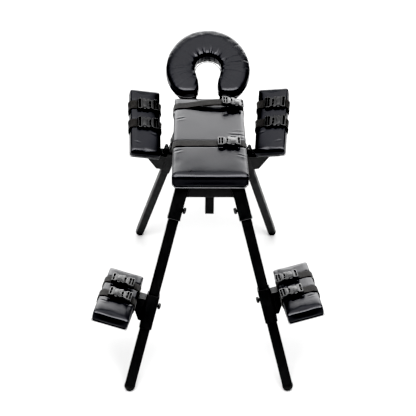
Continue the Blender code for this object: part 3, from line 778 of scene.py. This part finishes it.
# ---------------------------------------------------------------- buckles and strap hardware
BUCKLE_HALF = 0.041
BUCKLE_BASE = 0.0031            # a buckle's underside above the pad's top
PATH_STEP = 0.004               # between the points of a strap's path
STRAP_CLEAR, STRAP_HALF = 0.0014, 0.016     # a strap's middle above its cover, and where its edges are tried
TAIL_WIDTH, TAIL_THICKNESS = 0.0372, 0.0017


def buckle_mesh():
    """A side-release buckle: its socket half at -X, its plug half with two webbing slots at +X."""
    def slot_at(middle, half_long=0.0034, half_wide=0.0202):
        return [(middle + x, y) for x, y in rounded_box(half_long, half_wide, 0.0016, 3)]

    upper = [(-0.0410, 0.0215), (-0.0395, 0.0243), (-0.0365, 0.0250), (-0.0300, 0.0248), (-0.0262, 0.0232),
             (-0.0235, 0.0226), (-0.0225, 0.0190), (-0.0205, 0.0176), (-0.0085, 0.0176), (-0.0062, 0.0192),
             (-0.0050, 0.0232), (-0.0020, 0.0240), (0.0035, 0.0242), (0.0062, 0.0236), (0.0072, 0.0210),
             (0.0058, 0.0150), (0.0040, 0.0085), (0.0034, 0.0)]
    socket = upper + [(x, -y) for x, y in upper[-2::-1]]
    female = plate([socket, slot_at(-0.0345)], 0.0006, 0.0122, 0.0017, 3)
    rim = [(-0.0215, 0.0130), (-0.0225, 0.0), (-0.0215, -0.0130), (-0.0030, -0.0148), (-0.0052, 0.0),
           (-0.0030, 0.0148)]
    lip = plate([rim], 0.0110, 0.0129, 0.0008, 2)
    upper = [(0.0098, 0.0), (0.0102, 0.0095), (0.0118, 0.0160), (0.0140, 0.0196), (0.0175, 0.0214),
             (0.0210, 0.0236), (0.0250, 0.0248), (0.0362, 0.0250), (0.0396, 0.0240), (0.0410, 0.0212)]
    plug = upper + [(x, -y) for x, y in upper[:0:-1]]
    male = plate([plug, slot_at(0.0256), slot_at(0.0352)], 0.0010, 0.0112, 0.0016, 3)
    parts = [female, lip, male]
    for side in (1, -1):
        head = [(-0.0212, 0.0172), (-0.0205, 0.0214), (-0.0175, 0.0240), (-0.0120, 0.0247), (-0.0080, 0.0236),
                (-0.0066, 0.0205), (-0.0066, 0.0172)]
        outline = [(x, y * side) for x, y in head]
        parts.append(plate([outline[::side]], 0.0028, 0.0100, 0.0013, 3))
        parts.append(block((0.020, 0.0052, 0.0066), (0.0040, side * 0.0150, 0.0064), 0.0012, 2))
    parts.append(block((0.016, 0.0040, 0.0050), (0.0040, 0.0, 0.0064), 0.0012, 2))
    made = together(*parts)
    for vertex in made.vertices:
        if vertex.co.z > 0.009:
            crown = 0.0011 * (1 - (vertex.co.y / 0.025) ** 2)
            vertex.co.z += crown - 0.0010 * (abs(vertex.co.x) / BUCKLE_HALF) ** 3
    return made


def screw_mesh():
    """A pan-head wood screw through a flared finishing washer, Z out of the surface."""
    washer = turned([(0, 0.0016), (0.0050, 0.0016), (0.0066, 0.0010), (0.0075, 0.0002), (0.0075, -0.0004),
                     (0, -0.0004)], 24)
    head = turned([(0, 0.0036), (0.0018, 0.0035), (0.0033, 0.0029), (0.0041, 0.0018), (0.0041, 0.0012),
                   (0, 0.0012)], 20)
    return together(washer, head)


BUCKLE_MESH = buckle_mesh()
SCREW_MESH = screw_mesh()
Y_AXIS = Vector((0, 1, 0))


def strap_run(tree, half, depth, along, left, right, lift, peak, sway):
    """Centre points of a strap over a pad, in the pad's frame.

    left and right are (how far a side hangs clear, how far it sags towards the foot end). lift is how high
    the slack top stands at peak. sway skews it along the pad.
    """
    points = []
    for side, (out, sag) in ((-1, left), (1, right)):
        run = [Vector((side * (half + 0.0005), along - sag, -depth)),
               Vector((side * (half + 0.0012 + out * 0.75), along - sag * 0.9, -depth * 0.72)),
               Vector((side * (half + 0.0016 + out), along - sag * 0.6, -depth * 0.44)),
               Vector((side * (half + 0.0012 + out * 0.55), along - sag * 0.25, -depth * 0.20)),
               Vector((side * (half - 0.003 + out * 0.12), along, -0.003 + lift * 0.10))]
        points.append(run if side < 0 else run[::-1])
    reach = half - 0.014
    top = []
    for i in range(9):
        x = -reach + 2 * reach * i / 8
        if x < peak:
            share = math.sin(math.pi / 2 * (x + reach) / (peak + reach)) ** 1.5 if x > -reach else 0.0
        else:
            share = max(0.0, math.cos(math.pi / 2 * (x - peak) / (reach - peak))) ** 1.3
        top.append(Vector((x, along + sway * share, 0.0012 + lift * share)))
    path = smooth_path(points[0] + top + points[1], PATH_STEP)
    return hugging(path, tree, STRAP_CLEAR, STRAP_HALF, Y_AXIS)


def strap_pieces(tag, pad, body, cover, half, depth, along, across, nodes, flip=False, left=(0, 0),
                 right=(0, 0), lift=0.0, peak=0.0, tip=0.0, buckle_lift=0.0, sway=0.0, tail=0.045,
                 look=BUCKLE):
    """A strap, its buckle, the webbing threaded through the buckle, and its two anchor screws."""
    from_mesh = bmesh.new()
    from_mesh.from_mesh(cover)
    tree = BVHTree.FromBMesh(from_mesh)
    from_mesh.free()
    path = strap_run(tree, half, depth, along, left, right, lift, peak, sway)
    main = band(path, [Y_AXIS] * len(path))

    flipped = Matrix.Rotation(math.pi, 4, "Z") if flip else Matrix()
    seat = Matrix.Translation((across, along, BUCKLE_BASE + buckle_lift)) @ Matrix.Rotation(tip, 4, "Y")
    local = seat @ flipped

    # Webbing through the two slots of the plug half, and its tail lying back along the strap.
    threads = []
    for end, reach, shift in ((1.0, tail, -0.0030), (-1.0, 0.030, 0.0012)):
        way = end if not flip else -end
        start = (local @ Vector((end * 0.020, 0, 0))).x
        nearest = min(range(len(path)), key=lambda i: abs(path[i].x - start) + (path[i].z < -0.010))
        step = 1 if way > 0 else -1
        count = int((0.024 + reach) / PATH_STEP)
        chosen = [path[i] for i in range(nearest, nearest + step * count, step) if 0 <= i < len(path)]
        points, total = [], len(chosen)
        for i, place in enumerate(chosen):
            a, b = chosen[max(i - 1, 0)], chosen[min(i + 1, total - 1)]
            normal = (b - a).normalized().cross(Y_AXIS) * -step
            share = min(1.0, i / 6.0)
            points.append(place + normal * (0.0024 + 0.0012 * (1 - share)) + Y_AXIS * shift * share)
        threads.append(band(points, [Y_AXIS] * len(points), width=TAIL_WIDTH, thickness=TAIL_THICKNESS))
    strap_node, buckle_node = nodes
    piece(f"webbing_{tag}", together(main, *threads), pad, WEBBING, body, [strap_node], sharp=40)
    piece(f"buckle_{tag}", BUCKLE_MESH.copy(), pad @ local, look, body, [buckle_node], sharp=40)

    # Anchor screws through the strap's ends into the board's edge.
    screws = []
    for side, end in ((-1, path[1]), (1, path[-2])):
        out = Vector((side, 0, 0))
        screws.append((SCREW_MESH, axes(Y_AXIS, out.cross(Y_AXIS), out,
                                        end + out * 0.0012 + Vector((0, 0, 0.006)))))
    piece(f"screws_{tag}", together(*screws), pad, BOLT, body, sharp=35)


# ---------------------------------------------------------------- cushions
def seam_ring(width, length, corner, z, radius=0.0011):
    """The edge binding round a pad's foot."""
    return bead(welt_line(width, length, corner, z), radius, closed=True)


def underside(width, length, depth, inset=0.011):
    """A dust cover under a pad: a thin panel inset from the edge."""
    return block((width - 2 * inset, length - 2 * inset, 0.0012), (0, 0, -depth + 0.0008), 0.0004, 1)


def staples(width, length, depth, spacing=0.034, inset=0.015):
    """The dust cover's staples, in a row along each side."""
    crown = block((0.011, 0.0012, 0.0009), (0, 0, 0), 0.0003, 1)
    parts = []
    z = -depth + 0.0001
    for side in (-1, 1):
        for run, reach, lengthways in ((length, width, True), (width, length, False)):
            count = int(run / spacing)
            for i in range(count):
                along, out = (i + 0.5 - count / 2) * spacing, side * (reach / 2 - inset)
                place = (out, along, z) if lengthways else (along, out, z)
                turn = Matrix.Rotation(1.45 if lengthways else 0.12, 4, "Z")
                parts.append((crown, Matrix.Translation(place) @ turn))
    return together(*parts)


TORSO_SWELL = (0.003, 0.0085, 0.004, 0.002)
# Each crease: start, end, width, depth.
TORSO_CREASES = (((0.075, -0.020), (0.124, -0.030), 0.0030, 0.0010),
                 ((0.066, -0.001), (0.125, -0.006), 0.0035, 0.0012),
                 ((0.080, 0.018), (0.122, 0.021), 0.0028, 0.0008),
                 ((-0.120, 0.10), (-0.085, 0.11), 0.004, 0.0008),
                 ((-0.122, -0.11), (-0.092, -0.10), 0.004, 0.0007),
                 ((0.092, -0.13), (0.123, -0.14), 0.003, 0.0007))


def make_torso():
    """The torso pad: cover, binding, corner seams, board, staples and two straps, the far one slack."""
    pad, width, length, _ = pad_frame("torso_cushion")
    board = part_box("torso_board")
    depth = pad.translation.z - board[0].z
    far, near = place_on(pad, "torso_strap_far").y, place_on(pad, "torso_strap_near").y
    mesh = box_cover(width, length, depth, 0.0050, 0.0035, (near,), 0.0016, TORSO_CREASES, 1.7, 0.0055,
                     0.0070, crown=(0.30, 0.003), swell=TORSO_SWELL)
    piece("cover_torso", mesh, pad, VINYL, "frame", ["torso_cushion"])
    # The binding's light grey partly paints the highlight along the pad's bottom edge.
    ring = seam_ring(width - 0.0006, length - 0.0006, 0.0065, -depth + 0.0030, 0.0013)
    piece("binding_torso", ring, pad, BINDING_PAINTED_HIGHLIGHT, "frame")
    corners = []
    for sx in (-1, 1):
        for sy in (-1, 1):
            x, y = sx * (width / 2 - 0.0015), sy * (length / 2 - 0.0015)
            line = smooth_path([(x - sx * 0.0010, y - sy * 0.0010, -0.006), (x, y, -0.016),
                                (x, y, -depth * 0.6), (x, y, -depth + 0.004)], 0.003)
            line = [point + proud(point, (width, length, depth), TORSO_SWELL) for point in line]
            corners.append(bead(line, 0.0010))
    piece("corner_seams_torso", together(*corners), pad, VINYL, "frame")
    piece("underside_torso", underside(width, length, depth), pad, PLYWOOD, "frame",
          ["torso_board"], sharp=30)
    piece("staples_torso", staples(width, length, depth), pad, BOLT, "frame", sharp=30)
    side_depth = depth * 0.9
    strap_pieces("torso_far", pad, "frame", mesh, width / 2, side_depth, far, 0.0900,
                 ("torso_strap_far", "torso_buckle_far"), flip=True, left=(0.006, 0.010),
                 right=(0.004, 0.006), lift=0.016, peak=0.040, tip=math.radians(13), buckle_lift=0.0098,
                 sway=0.004, tail=0.075)
    strap_pieces("torso_near", pad, "frame", mesh, width / 2, side_depth, near, 0.071,
                 ("torso_strap_near", "torso_buckle_near"), flip=True, left=(0.006, 0.007),
                 right=(0.007, 0.006), tail=0.060)


REST_VOXEL, REST_PRESS = 0.0040, 0.0013
# How far a strap's side hangs clear and how far it sags, on the rest's outer side and on its inner side.
REST_SLACK = {"knee": ((0.0030, 0.006), (0.0020, 0.006)), "arm": ((0.0055, 0.016), (0.0045, 0.014))}
KNEE_NEAR_END = ((0.014, 0.0105), (0.055, 0.004))       # roll and crown


def make_rest(kind, side_name, cap, creases, seed):
    """One rest: its cover, binding, dust cover and staples, and two straps with their buckles."""
    side = SIDES[side_name]
    node = f"{kind}_cushion_{side_name}"
    pad, width, length, foam = pad_frame(node)
    body = body_of(node)
    straps = [f"{kind}_strap_{side_name}_{where}" for where in ("far", "near")]
    places = [place_on(pad, name).y for name in straps]
    buckles = [f"{kind}_buckle_{side_name}_{where}" for where in ("far", "near")]
    creases = [((side * a[0], a[1]), (side * b[0], b[1]), wide, deep) for a, b, wide, deep in creases]
    mesh = box_cover(width, length, foam, REST_VOXEL, cap, places, REST_PRESS, creases, seed, 0.0045, 0.0055,
                     *(KNEE_NEAR_END if kind == "knee" else ()))
    cover = piece(f"cover_{kind}_{side_name}", mesh, pad, VINYL, body, [node])
    tag = f"{kind}_{side_name}"
    # The binding's light grey partly paints the highlight along the rest's bottom edge.
    piece(f"binding_{tag}", seam_ring(width - 0.0006, length - 0.0006, 0.0050, -foam + 0.0030, 0.0011), pad,
          BINDING_PAINTED_HIGHLIGHT, body)
    piece(f"underside_{tag}", underside(width, length, foam), pad, PLASTIC, body, sharp=30)
    piece(f"staples_{tag}", staples(width, length, foam), pad, BOLT, body, sharp=30)
    left, right = REST_SLACK[kind] if side < 0 else REST_SLACK[kind][::-1]
    # The arm rests' buckles take the darker copy of the buckle plastic, which is painted shade.
    lift, depth, tail, look = ((0.0035, foam - 0.004, 0.028, BUCKLE) if kind == "knee"
                               else (0.0, foam + 0.002, 0.022, BUCKLE_PAINTED_SHADE))
    for strap, buckle, place, where in zip(straps, buckles, places, ("far", "near")):
        at = place_on(pad, buckle).x
        strap_pieces(f"{tag}_{where}", pad, body, mesh, width / 2, depth, place, at, (strap, buckle),
                     flip=side > 0, left=left, right=right, lift=lift, peak=at, buckle_lift=lift * 0.8,
                     tail=tail, look=look)


def make_rests():
    """The knee and arm rests. Creases are given for a right-hand pad."""
    for kind, cap, creases, seed in (
            ("knee", 0.0034, (((-0.052, -0.05), (-0.022, -0.06), 0.003, 0.0008),
                              ((0.020, -0.075), (0.055, -0.070), 0.003, 0.0007)), 4.2),
            ("arm", 0.0032, (((-0.050, -0.06), (-0.018, -0.052), 0.003, 0.0008),
                             ((0.018, -0.10), (0.050, -0.094), 0.003, 0.0007)), 8.6)):
        for side_name, side in SIDES.items():
            make_rest(kind, side_name, cap, creases, seed + side)


# ---------------------------------------------------------------- face cradle
CRADLE_TILT = math.radians(20.0)
CRADLE_NEAR = (0.293965, 0.801)  # Y and Z of the middle of its near edge
CRADLE_WIDTH, CRADLE_LENGTH, CRADLE_MIDDLE, CRADLE_FOAM = 0.324, 0.318, 0.128, 0.060
HOLE_HALF_WIDTH, HOLE_TOP, MOUTH_HALF_WIDTH = 0.056, 0.066, 0.035
GATHER_DEPTH, GATHER_REACH = 0.0046, 0.024      # the gathers on the pillow's top, outwards from its hole
HOLE_GATHER_DEPTH = 0.0024                      # the same gathers down the hole's side
FOLD_DEPTH, PILLOW_RIPPLE, PILLOW_PROUD = 0.0013, 0.0008, 0.0026


def horseshoe(inset, steps=26):
    """The cradle's outline, inset all round. X across, Y uphill from its near edge."""
    half, far, near = CRADLE_WIDTH / 2 - inset, CRADLE_LENGTH - CRADLE_MIDDLE - inset, 0.180 - inset
    hole, mouth, low = HOLE_HALF_WIDTH + inset, MOUTH_HALF_WIDTH + inset, inset
    start = -math.asin((CRADLE_MIDDLE - low) / near)
    outer = [(half * math.cos(a), CRADLE_MIDDLE + near * math.sin(a)) for a in np.linspace(start, 0, steps)]
    outer += [(half * math.cos(a), CRADLE_MIDDLE + far * math.sin(a))
              for a in np.linspace(0, math.pi, 2 * steps)[1:-1]]
    outer += [(-x, y) for x, y in outer[:steps][::-1]]
    inner = [(-mouth, low), (-mouth, 0.055)]
    inner += [(hole * math.cos(a), CRADLE_MIDDLE + (HOLE_TOP + inset) * math.sin(a))
              for a in np.linspace(math.pi, 0, steps)]
    inner += [(mouth, 0.055), (mouth, low)]
    return outer + inner


def round_ends(outline, rounds=3):
    """Cuts the corners of a closed outline a few times, so that its lobes end round."""
    def fine(points, step=0.006):
        made = []
        for a, b in zip(points, points[1:] + points[:1]):
            a, b = np.array(a), np.array(b)
            count = max(1, int(np.linalg.norm(b - a) / step))
            made += [a + (b - a) * i / count for i in range(count)]
        return np.array(made)

    points = fine(outline)
    for _ in range(rounds * 4):
        points = 0.5 * points + 0.25 * (np.roll(points, 1, 0) + np.roll(points, -1, 0))
    return [tuple(p) for p in points]


def hole_place(x, y):
    """(how far outside the hole's edge, in metres, angle round the hole)."""
    dy = y - CRADLE_MIDDLE
    if dy < 0:
        t = min(1.0, -dy / 0.073)
        edge = HOLE_HALF_WIDTH + (MOUTH_HALF_WIDTH - HOLE_HALF_WIDTH) * t * t * (3 - 2 * t)
        return abs(x) - edge, math.atan2(dy, x)
    angle = math.atan2(dy / HOLE_TOP, x / HOLE_HALF_WIDTH)
    return math.hypot(x, dy) - math.hypot(HOLE_HALF_WIDTH * math.cos(angle),
                                          HOLE_TOP * math.sin(angle)), angle


def make_cradle():
    """The horseshoe pillow: a stretched cover with gathers round its hole, on its board."""
    low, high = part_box("cradle_pillow")
    plane = Matrix.Translation(((low.x + high.x) / 2, *CRADLE_NEAR)) @ Matrix.Rotation(CRADLE_TILT, 4, "X")
    outline = round_ends(horseshoe(0.0010), 7)
    mesh = plate([outline], -CRADLE_FOAM + 0.0005, -0.0050, 0.0)
    mesh = with_modifiers(mesh, ("BEVEL", {"width": 0.0165, "segments": 5, "limit_method": "ANGLE",
                                           "angle_limit": math.radians(50)}))
    mesh = inflate(mesh, 0.0044, PRESSURE, 0.0058, lambda p: p[2] < -CRADLE_FOAM + 0.012)
    mesh = fitted(mesh, (-CRADLE_WIDTH / 2 - 0.0010, -0.0005, -CRADLE_FOAM + 0.0003),
                  (CRADLE_WIDTH / 2 + 0.0010, CRADLE_LENGTH + 0.0015, 0.0022))

    def gathers(p, n):
        away, angle = hole_place(p.x, p.y)
        out = 0.0
        if -0.012 < away < 0.045 and p.y > 0.012:
            wave = math.sin(angle * 15.0 + 1.3 * math.sin(angle * 3.1) + 0.6)
            ridge = 0.5 + 0.5 * math.tanh(1.6 * (wave + 0.45 * math.sin(angle * 31.0 + 2.0)))
            top_end = 0.35 + 0.65 * max(0.0, math.sin(angle))
            if n.z > 0.25:
                fade = math.exp(-(max(0.0, away) / GATHER_REACH) ** 1.6)
                out -= GATHER_DEPTH * top_end * ridge * fade
            elif away < 0.012 and p.z > -0.050:
                out -= HOLE_GATHER_DEPTH * top_end * ridge
        if n.z > 0.6:
            side = math.atan2(p.y - CRADLE_MIDDLE, p.x)
            fold = max(0.0, noise.noise(Vector((side * 12.0, away * 9.0, 0.4))))
            out -= FOLD_DEPTH * fold * min(1.0, max(0.0, away / 0.02))
        elif away > 0.05 and p.z > -0.055:
            side = math.atan2(p.y - CRADLE_MIDDLE, p.x)
            out += PILLOW_RIPPLE * noise.noise(Vector((side * 26.0, p.z * 8.0, 2.0)))
        return out

    displace(mesh, gathers)

    def full(p, n):
        """The pillow stands a little proud of its board all round."""
        rise = min(1.0, max(0.0, (p.z + CRADLE_FOAM - 0.006) / 0.014))
        return Vector((n.x, n.y, 0)) * PILLOW_PROUD * rise

    displace(mesh, full)
    cover = piece("cover_cradle", mesh, plane, VINYL, "cradle_head", ["cradle_pillow"])
    rim = [Vector((x, y, -CRADLE_FOAM + 0.0040)) for x, y in round_ends(horseshoe(0.0020), 7)]
    piece("binding_cradle", bead(rim, 0.0014, closed=True), plane, VINYL, "cradle_head")


# ---------------------------------------------------------------- knobs, feet, welds and small hardware
def knob_mesh(radius, low, high, lobes):
    """A lobed hand knob on Z, from its hub at low to its domed top at high."""
    tall = high - low
    shape = ((0.0, 0.95), (0.30, 0.93), (0.42, 0.98), (0.62, 1.0), (0.84, 0.94), (0.96, 0.82), (1.0, 0.66),
             (1.0, 0.48), (0.95, 0.34), (0.80, 0.25), (0.56, 0.20), (0.52, 0.10), (0.55, 0.0), (0.0, 0.0))
    return turned([(radius * r, low + tall * z) for r, z in shape], 72, lobes, radius * 0.16)


def make_knobs():
    """The clamping knobs, each with its screw, and a nut on the part it screws into."""
    for name, body in [(n, body_of(n)) for n in NODES if "_knob" in n and "cradle_tilt" not in n]:
        joint = next(j for j in JOINTS.values() if j["child"] == body)
        at = joint_frame(joint["name"])
        local = points_in(at, name)
        low, high = local[:, 2].min(), local[:, 2].max()
        if abs(high) <= abs(low):
            at = at @ Matrix.Rotation(math.pi, 4, "X")
            low, high = -high, -low
        reach = np.hypot(local[:, 0], local[:, 1]).max()
        knob = knob_mesh(reach, 0.0032, high, 6)
        screw = turned([(0, 0.006), (0.0038, 0.006), (0.0038, low + 0.001), (0.0030, low), (0, low)], 20)
        piece(name + "_grip", together(knob, screw), at, PLASTIC, body, [name], sharp=38)
        nut = turned([(0.0062, 0.0004), (0.0066, 0.0008), (0.0066, 0.0026), (0.0060, 0.0030),
                      (0.0044, 0.0030), (0.0044, 0.0004), (0.0062, 0.0004)], 6)
        piece(name + "_nut", nut, at, BOLT, joint["parent"], sharp=25)


def make_tilt_knob():
    """The cradle's knob, with its shaft through the hinge and a washer head at the far end."""
    node = "cradle_tilt_knob"
    low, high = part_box(node)
    middle = (low + high) / 2
    at = axes(Vector((0, 1, 0)), Vector((0, 0, 1)), Vector((1, 0, 0)), Vector((0, middle.y, middle.z)))
    radius = (high.y - low.y) / 2
    end = high.x
    knob = knob_mesh(radius, end - 0.0235, end, 5)
    washer = ((0.0040, 0.0065), (0.0052, 0.0062), (0.0070, 0.0060), (0.0070, 0.0012), (0.0060, 0.0002),
              (0.0036, 0), (0.0030, 0.0016), (0, 0.0016))
    shaft = turned([(0, end - 0.004), (0.0040, end - 0.004), *((r, low.x + z) for r, z in washer)], 32)
    piece("cradle_tilt_grip", together(knob, shaft), at, PLASTIC, body_of(node), [node], sharp=38)


def leg_axes(tag):
    """A leg's frame, from its slide joint: Z up the leg, X sideways, origin where it meets the floor."""
    joint = JOINTS[f"leg_{tag}_extend"]
    up = -Vector(joint["axis"]).normalized()
    across = (Vector((1, 0, 0)) - up * up.x).normalized()
    along = up.cross(across)
    local = read(NODES[f"leg_tube_{tag}"].data) @ np.array((across, along, up)).T
    middle = (local.min(0) + local.max(0)) / 2
    origin = across * middle[0] + along * middle[1]
    origin += up * (-origin.z / up.z)
    return axes(across, along, up, origin)


def dense(ring, spacing=0.003):
    """A closed ring's points with more between them."""
    out = []
    for a, b in zip(ring, ring[1:] + ring[:1]):
        count = max(1, int((b - a).length / spacing))
        out += [a.lerp(b, i / count) for i in range(count)]
    return out


FLOOR_GAP = 0.0002


def make_feet():
    """Domed rubber feet with a moulded groove, flat where they stand, and the sockets' plastic mouths."""
    for end in ("front", "rear"):
        for side_name in SIDES:
            tag = f"{end}_{side_name}"
            leg = leg_axes(tag)
            up = leg.to_3x3().col[2]
            local = points_in(leg, f"foot_{tag}")
            radius = float(np.hypot(local[:, 0], local[:, 1]).max())
            top = float(points_in(leg, f"leg_tube_{tag}")[:, 2].min())
            profile = [(radius * share, top - drop) for share, drop in
                       ((0, 0.0004), (0.93, 0.0004), (0.985, 0.0013), (0.985, 0.0030), (0.955, 0.0036),
                        (0.955, 0.0046), (1, 0.0052))]
            profile += [(radius * math.cos(a), radius * (0.9 + math.sin(a)))
                        for a in np.radians(-np.arange(2, 18) * 5.0)]
            profile.append((0, -0.1 * radius))
            mesh = turned(profile, 56)
            for vertex in mesh.vertices:
                world = leg @ vertex.co
                if world.z < FLOOR_GAP:
                    vertex.co.z += (FLOOR_GAP - world.z) / up.z
            mesh.transform(leg)
            piece(f"foot_cap_{tag}", mesh, Matrix(), RUBBER, f"leg_{tag}", [f"foot_{tag}"],
                  sharp=50)
            local = points_in(leg, f"leg_socket_{tag}")
            wide, foot = local[:, 0].max(), local[:, 2].min()
            mouth = bead([Vector((x, y, foot + 0.0006)) for x, y in rounded_box(wide, wide, 0.0042, 5)],
                         0.0011, closed=True)
            piece(f"socket_bushing_{tag}", mouth, leg, PLASTIC, "frame")


WELD_LUMPS = 0.16


def make_welds():
    """Weld beads where the crossbars meet the sockets and the spine."""
    beads = []
    for node, end in (("front_crossbar", "front"), ("rear_crossbar", "rear")):
        low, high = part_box(node)
        centre = (low + high) / 2
        half = (high.z - low.z) / 2
        for side_name, side in SIDES.items():
            leg = leg_axes(f"{end}_{side_name}")
            normal = leg.to_3x3().col[0] * -side
            socket = points_in(leg, f"leg_socket_{end}_{side_name}")
            face = leg.translation + normal * float(socket[:, 0].max())
            ring = []
            for y, z in rounded_box(half + 0.0004, half + 0.0004, 0.0042, 4):
                point = Vector((0, centre.y + y, centre.z + z))
                point.x = (face - point).dot(normal) / normal.x
                ring.append(point)
            beads.append(bead(dense(ring), 0.0019, closed=True, lumps=WELD_LUMPS, seed=side))
    low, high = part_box("front_crossbar")
    spine_low, spine_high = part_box("spine_tube")
    x = (spine_low.x + spine_high.x) / 2
    half = (spine_high.x - spine_low.x) / 2
    start = spine_low.y
    for path in ([(x - half + 0.003, start, low.z), (x + half - 0.003, start, low.z)],
                 [(x - half, start, low.z + 0.003), (x - half, start, high.z - 0.003)],
                 [(x + half, start, low.z + 0.003), (x + half, start, high.z - 0.003)]):
        a, b = (Vector(p) for p in path)
        beads.append(bead([a.lerp(b, i / 13) for i in range(14)], 0.0021, lumps=WELD_LUMPS, seed=3))
    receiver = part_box("accessory_receiver")
    middle, half = (receiver[0] + receiver[1]) / 2, (receiver[1].x - receiver[0].x) / 2
    ring = [Vector((middle.x + px, middle.y + py, receiver[1].z - 0.0002))
            for px, py in rounded_box(half + 0.0004, half + 0.0004, 0.004, 4)]
    beads.append(bead(dense(ring), 0.0018, closed=True, lumps=WELD_LUMPS, seed=5))
    piece("welds_frame", together(*beads), Matrix(), WELD, "frame")


CAD_GAP = 0.0003                # between two CAD solids that touch
BOLT_REACHES, BOLT_SHIFTS = (0.052, 0.118), (-0.010, 0.010)     # outwards from the leg, and along the pad
POST_REACH = 0.031
POST_PROFILE = ((0, 0.058), (0.0045, 0.058), (0.0060, 0.0566), (0.0065, 0.0545), (0.0065, 0.0455),
                (0.0058, 0.0440), (0.0058, 0.0060), (0.0085, 0.0045), (0.0085, 0.0003), (0, 0.0003))


def make_brackets():
    """On each rest: the collar's rims and the cushion's fixing bolts, and on each arm rest the post under the
    cushion.
    """
    for kind, end in (("knee", "front"), ("arm", "rear")):
        for side_name, side in SIDES.items():
            body = f"{kind}_rest_{side_name}"
            leg = leg_axes(f"{end}_{side_name}")
            local = points_in(leg, f"{kind}_carrier_{side_name}")
            half = abs((local[:, 0] * side).min())
            collar = local[(np.abs(local[:, 0]) < half + 0.0005) & (np.abs(local[:, 1]) < half + 0.0005)]
            square = rounded_box(half - 0.0012, half - 0.0012, 0.0040, 5)
            rims = [bead([Vector((x, y, z)) for x, y in square], 0.0010, closed=True)
                    for z in (collar[:, 2].min(), collar[:, 2].max())]
            piece(f"collar_rims_{kind}_{side_name}", together(*rims), leg, WELD, body)
            pad, _, _, foam = pad_frame(f"{kind}_cushion_{side_name}")
            on_pad = pad.inverted() @ leg
            start, axis = on_pad.translation, on_pad.to_3x3().col[2]
            base = start + axis * ((-foam - CAD_GAP - start.z) / axis.z)
            bolts = []
            for reach in BOLT_REACHES:
                for shift in BOLT_SHIFTS:
                    at = base + Vector((side * reach, shift, -0.005))
                    bolts.append((SCREW_MESH, Matrix.Translation(at) @ Matrix.Rotation(math.pi, 4, "X")))
            piece(f"bracket_bolts_{kind}_{side_name}", together(*bolts), pad, BOLT, body, sharp=35)
            if kind == "arm":
                post = turned(POST_PROFILE, 32)
                at = Matrix.Translation(base + Vector((side * POST_REACH, 0, 0)))
                piece(f"bracket_post_{kind}_{side_name}", post, pad @ at, PLASTIC, body, sharp=35)


def paint_cad():
    """Looks for the CAD nodes that stay visible."""
    looks = {"plug": PLASTIC, "board": PLASTIC}
    for name, node in NODES.items():
        if node.hide_render:
            continue
        look = next((m for key, m in looks.items() if key in name), STEEL)
        node.data.materials.clear()
        node.data.materials.append(look)


make_camera()
make_studio()
make_torso()
make_rests()
make_cradle()
make_knobs()
make_tilt_knob()
make_feet()
make_welds()
make_brackets()
paint_cad()

SCENE.frame_set(1)
bpy.context.view_layer.update()
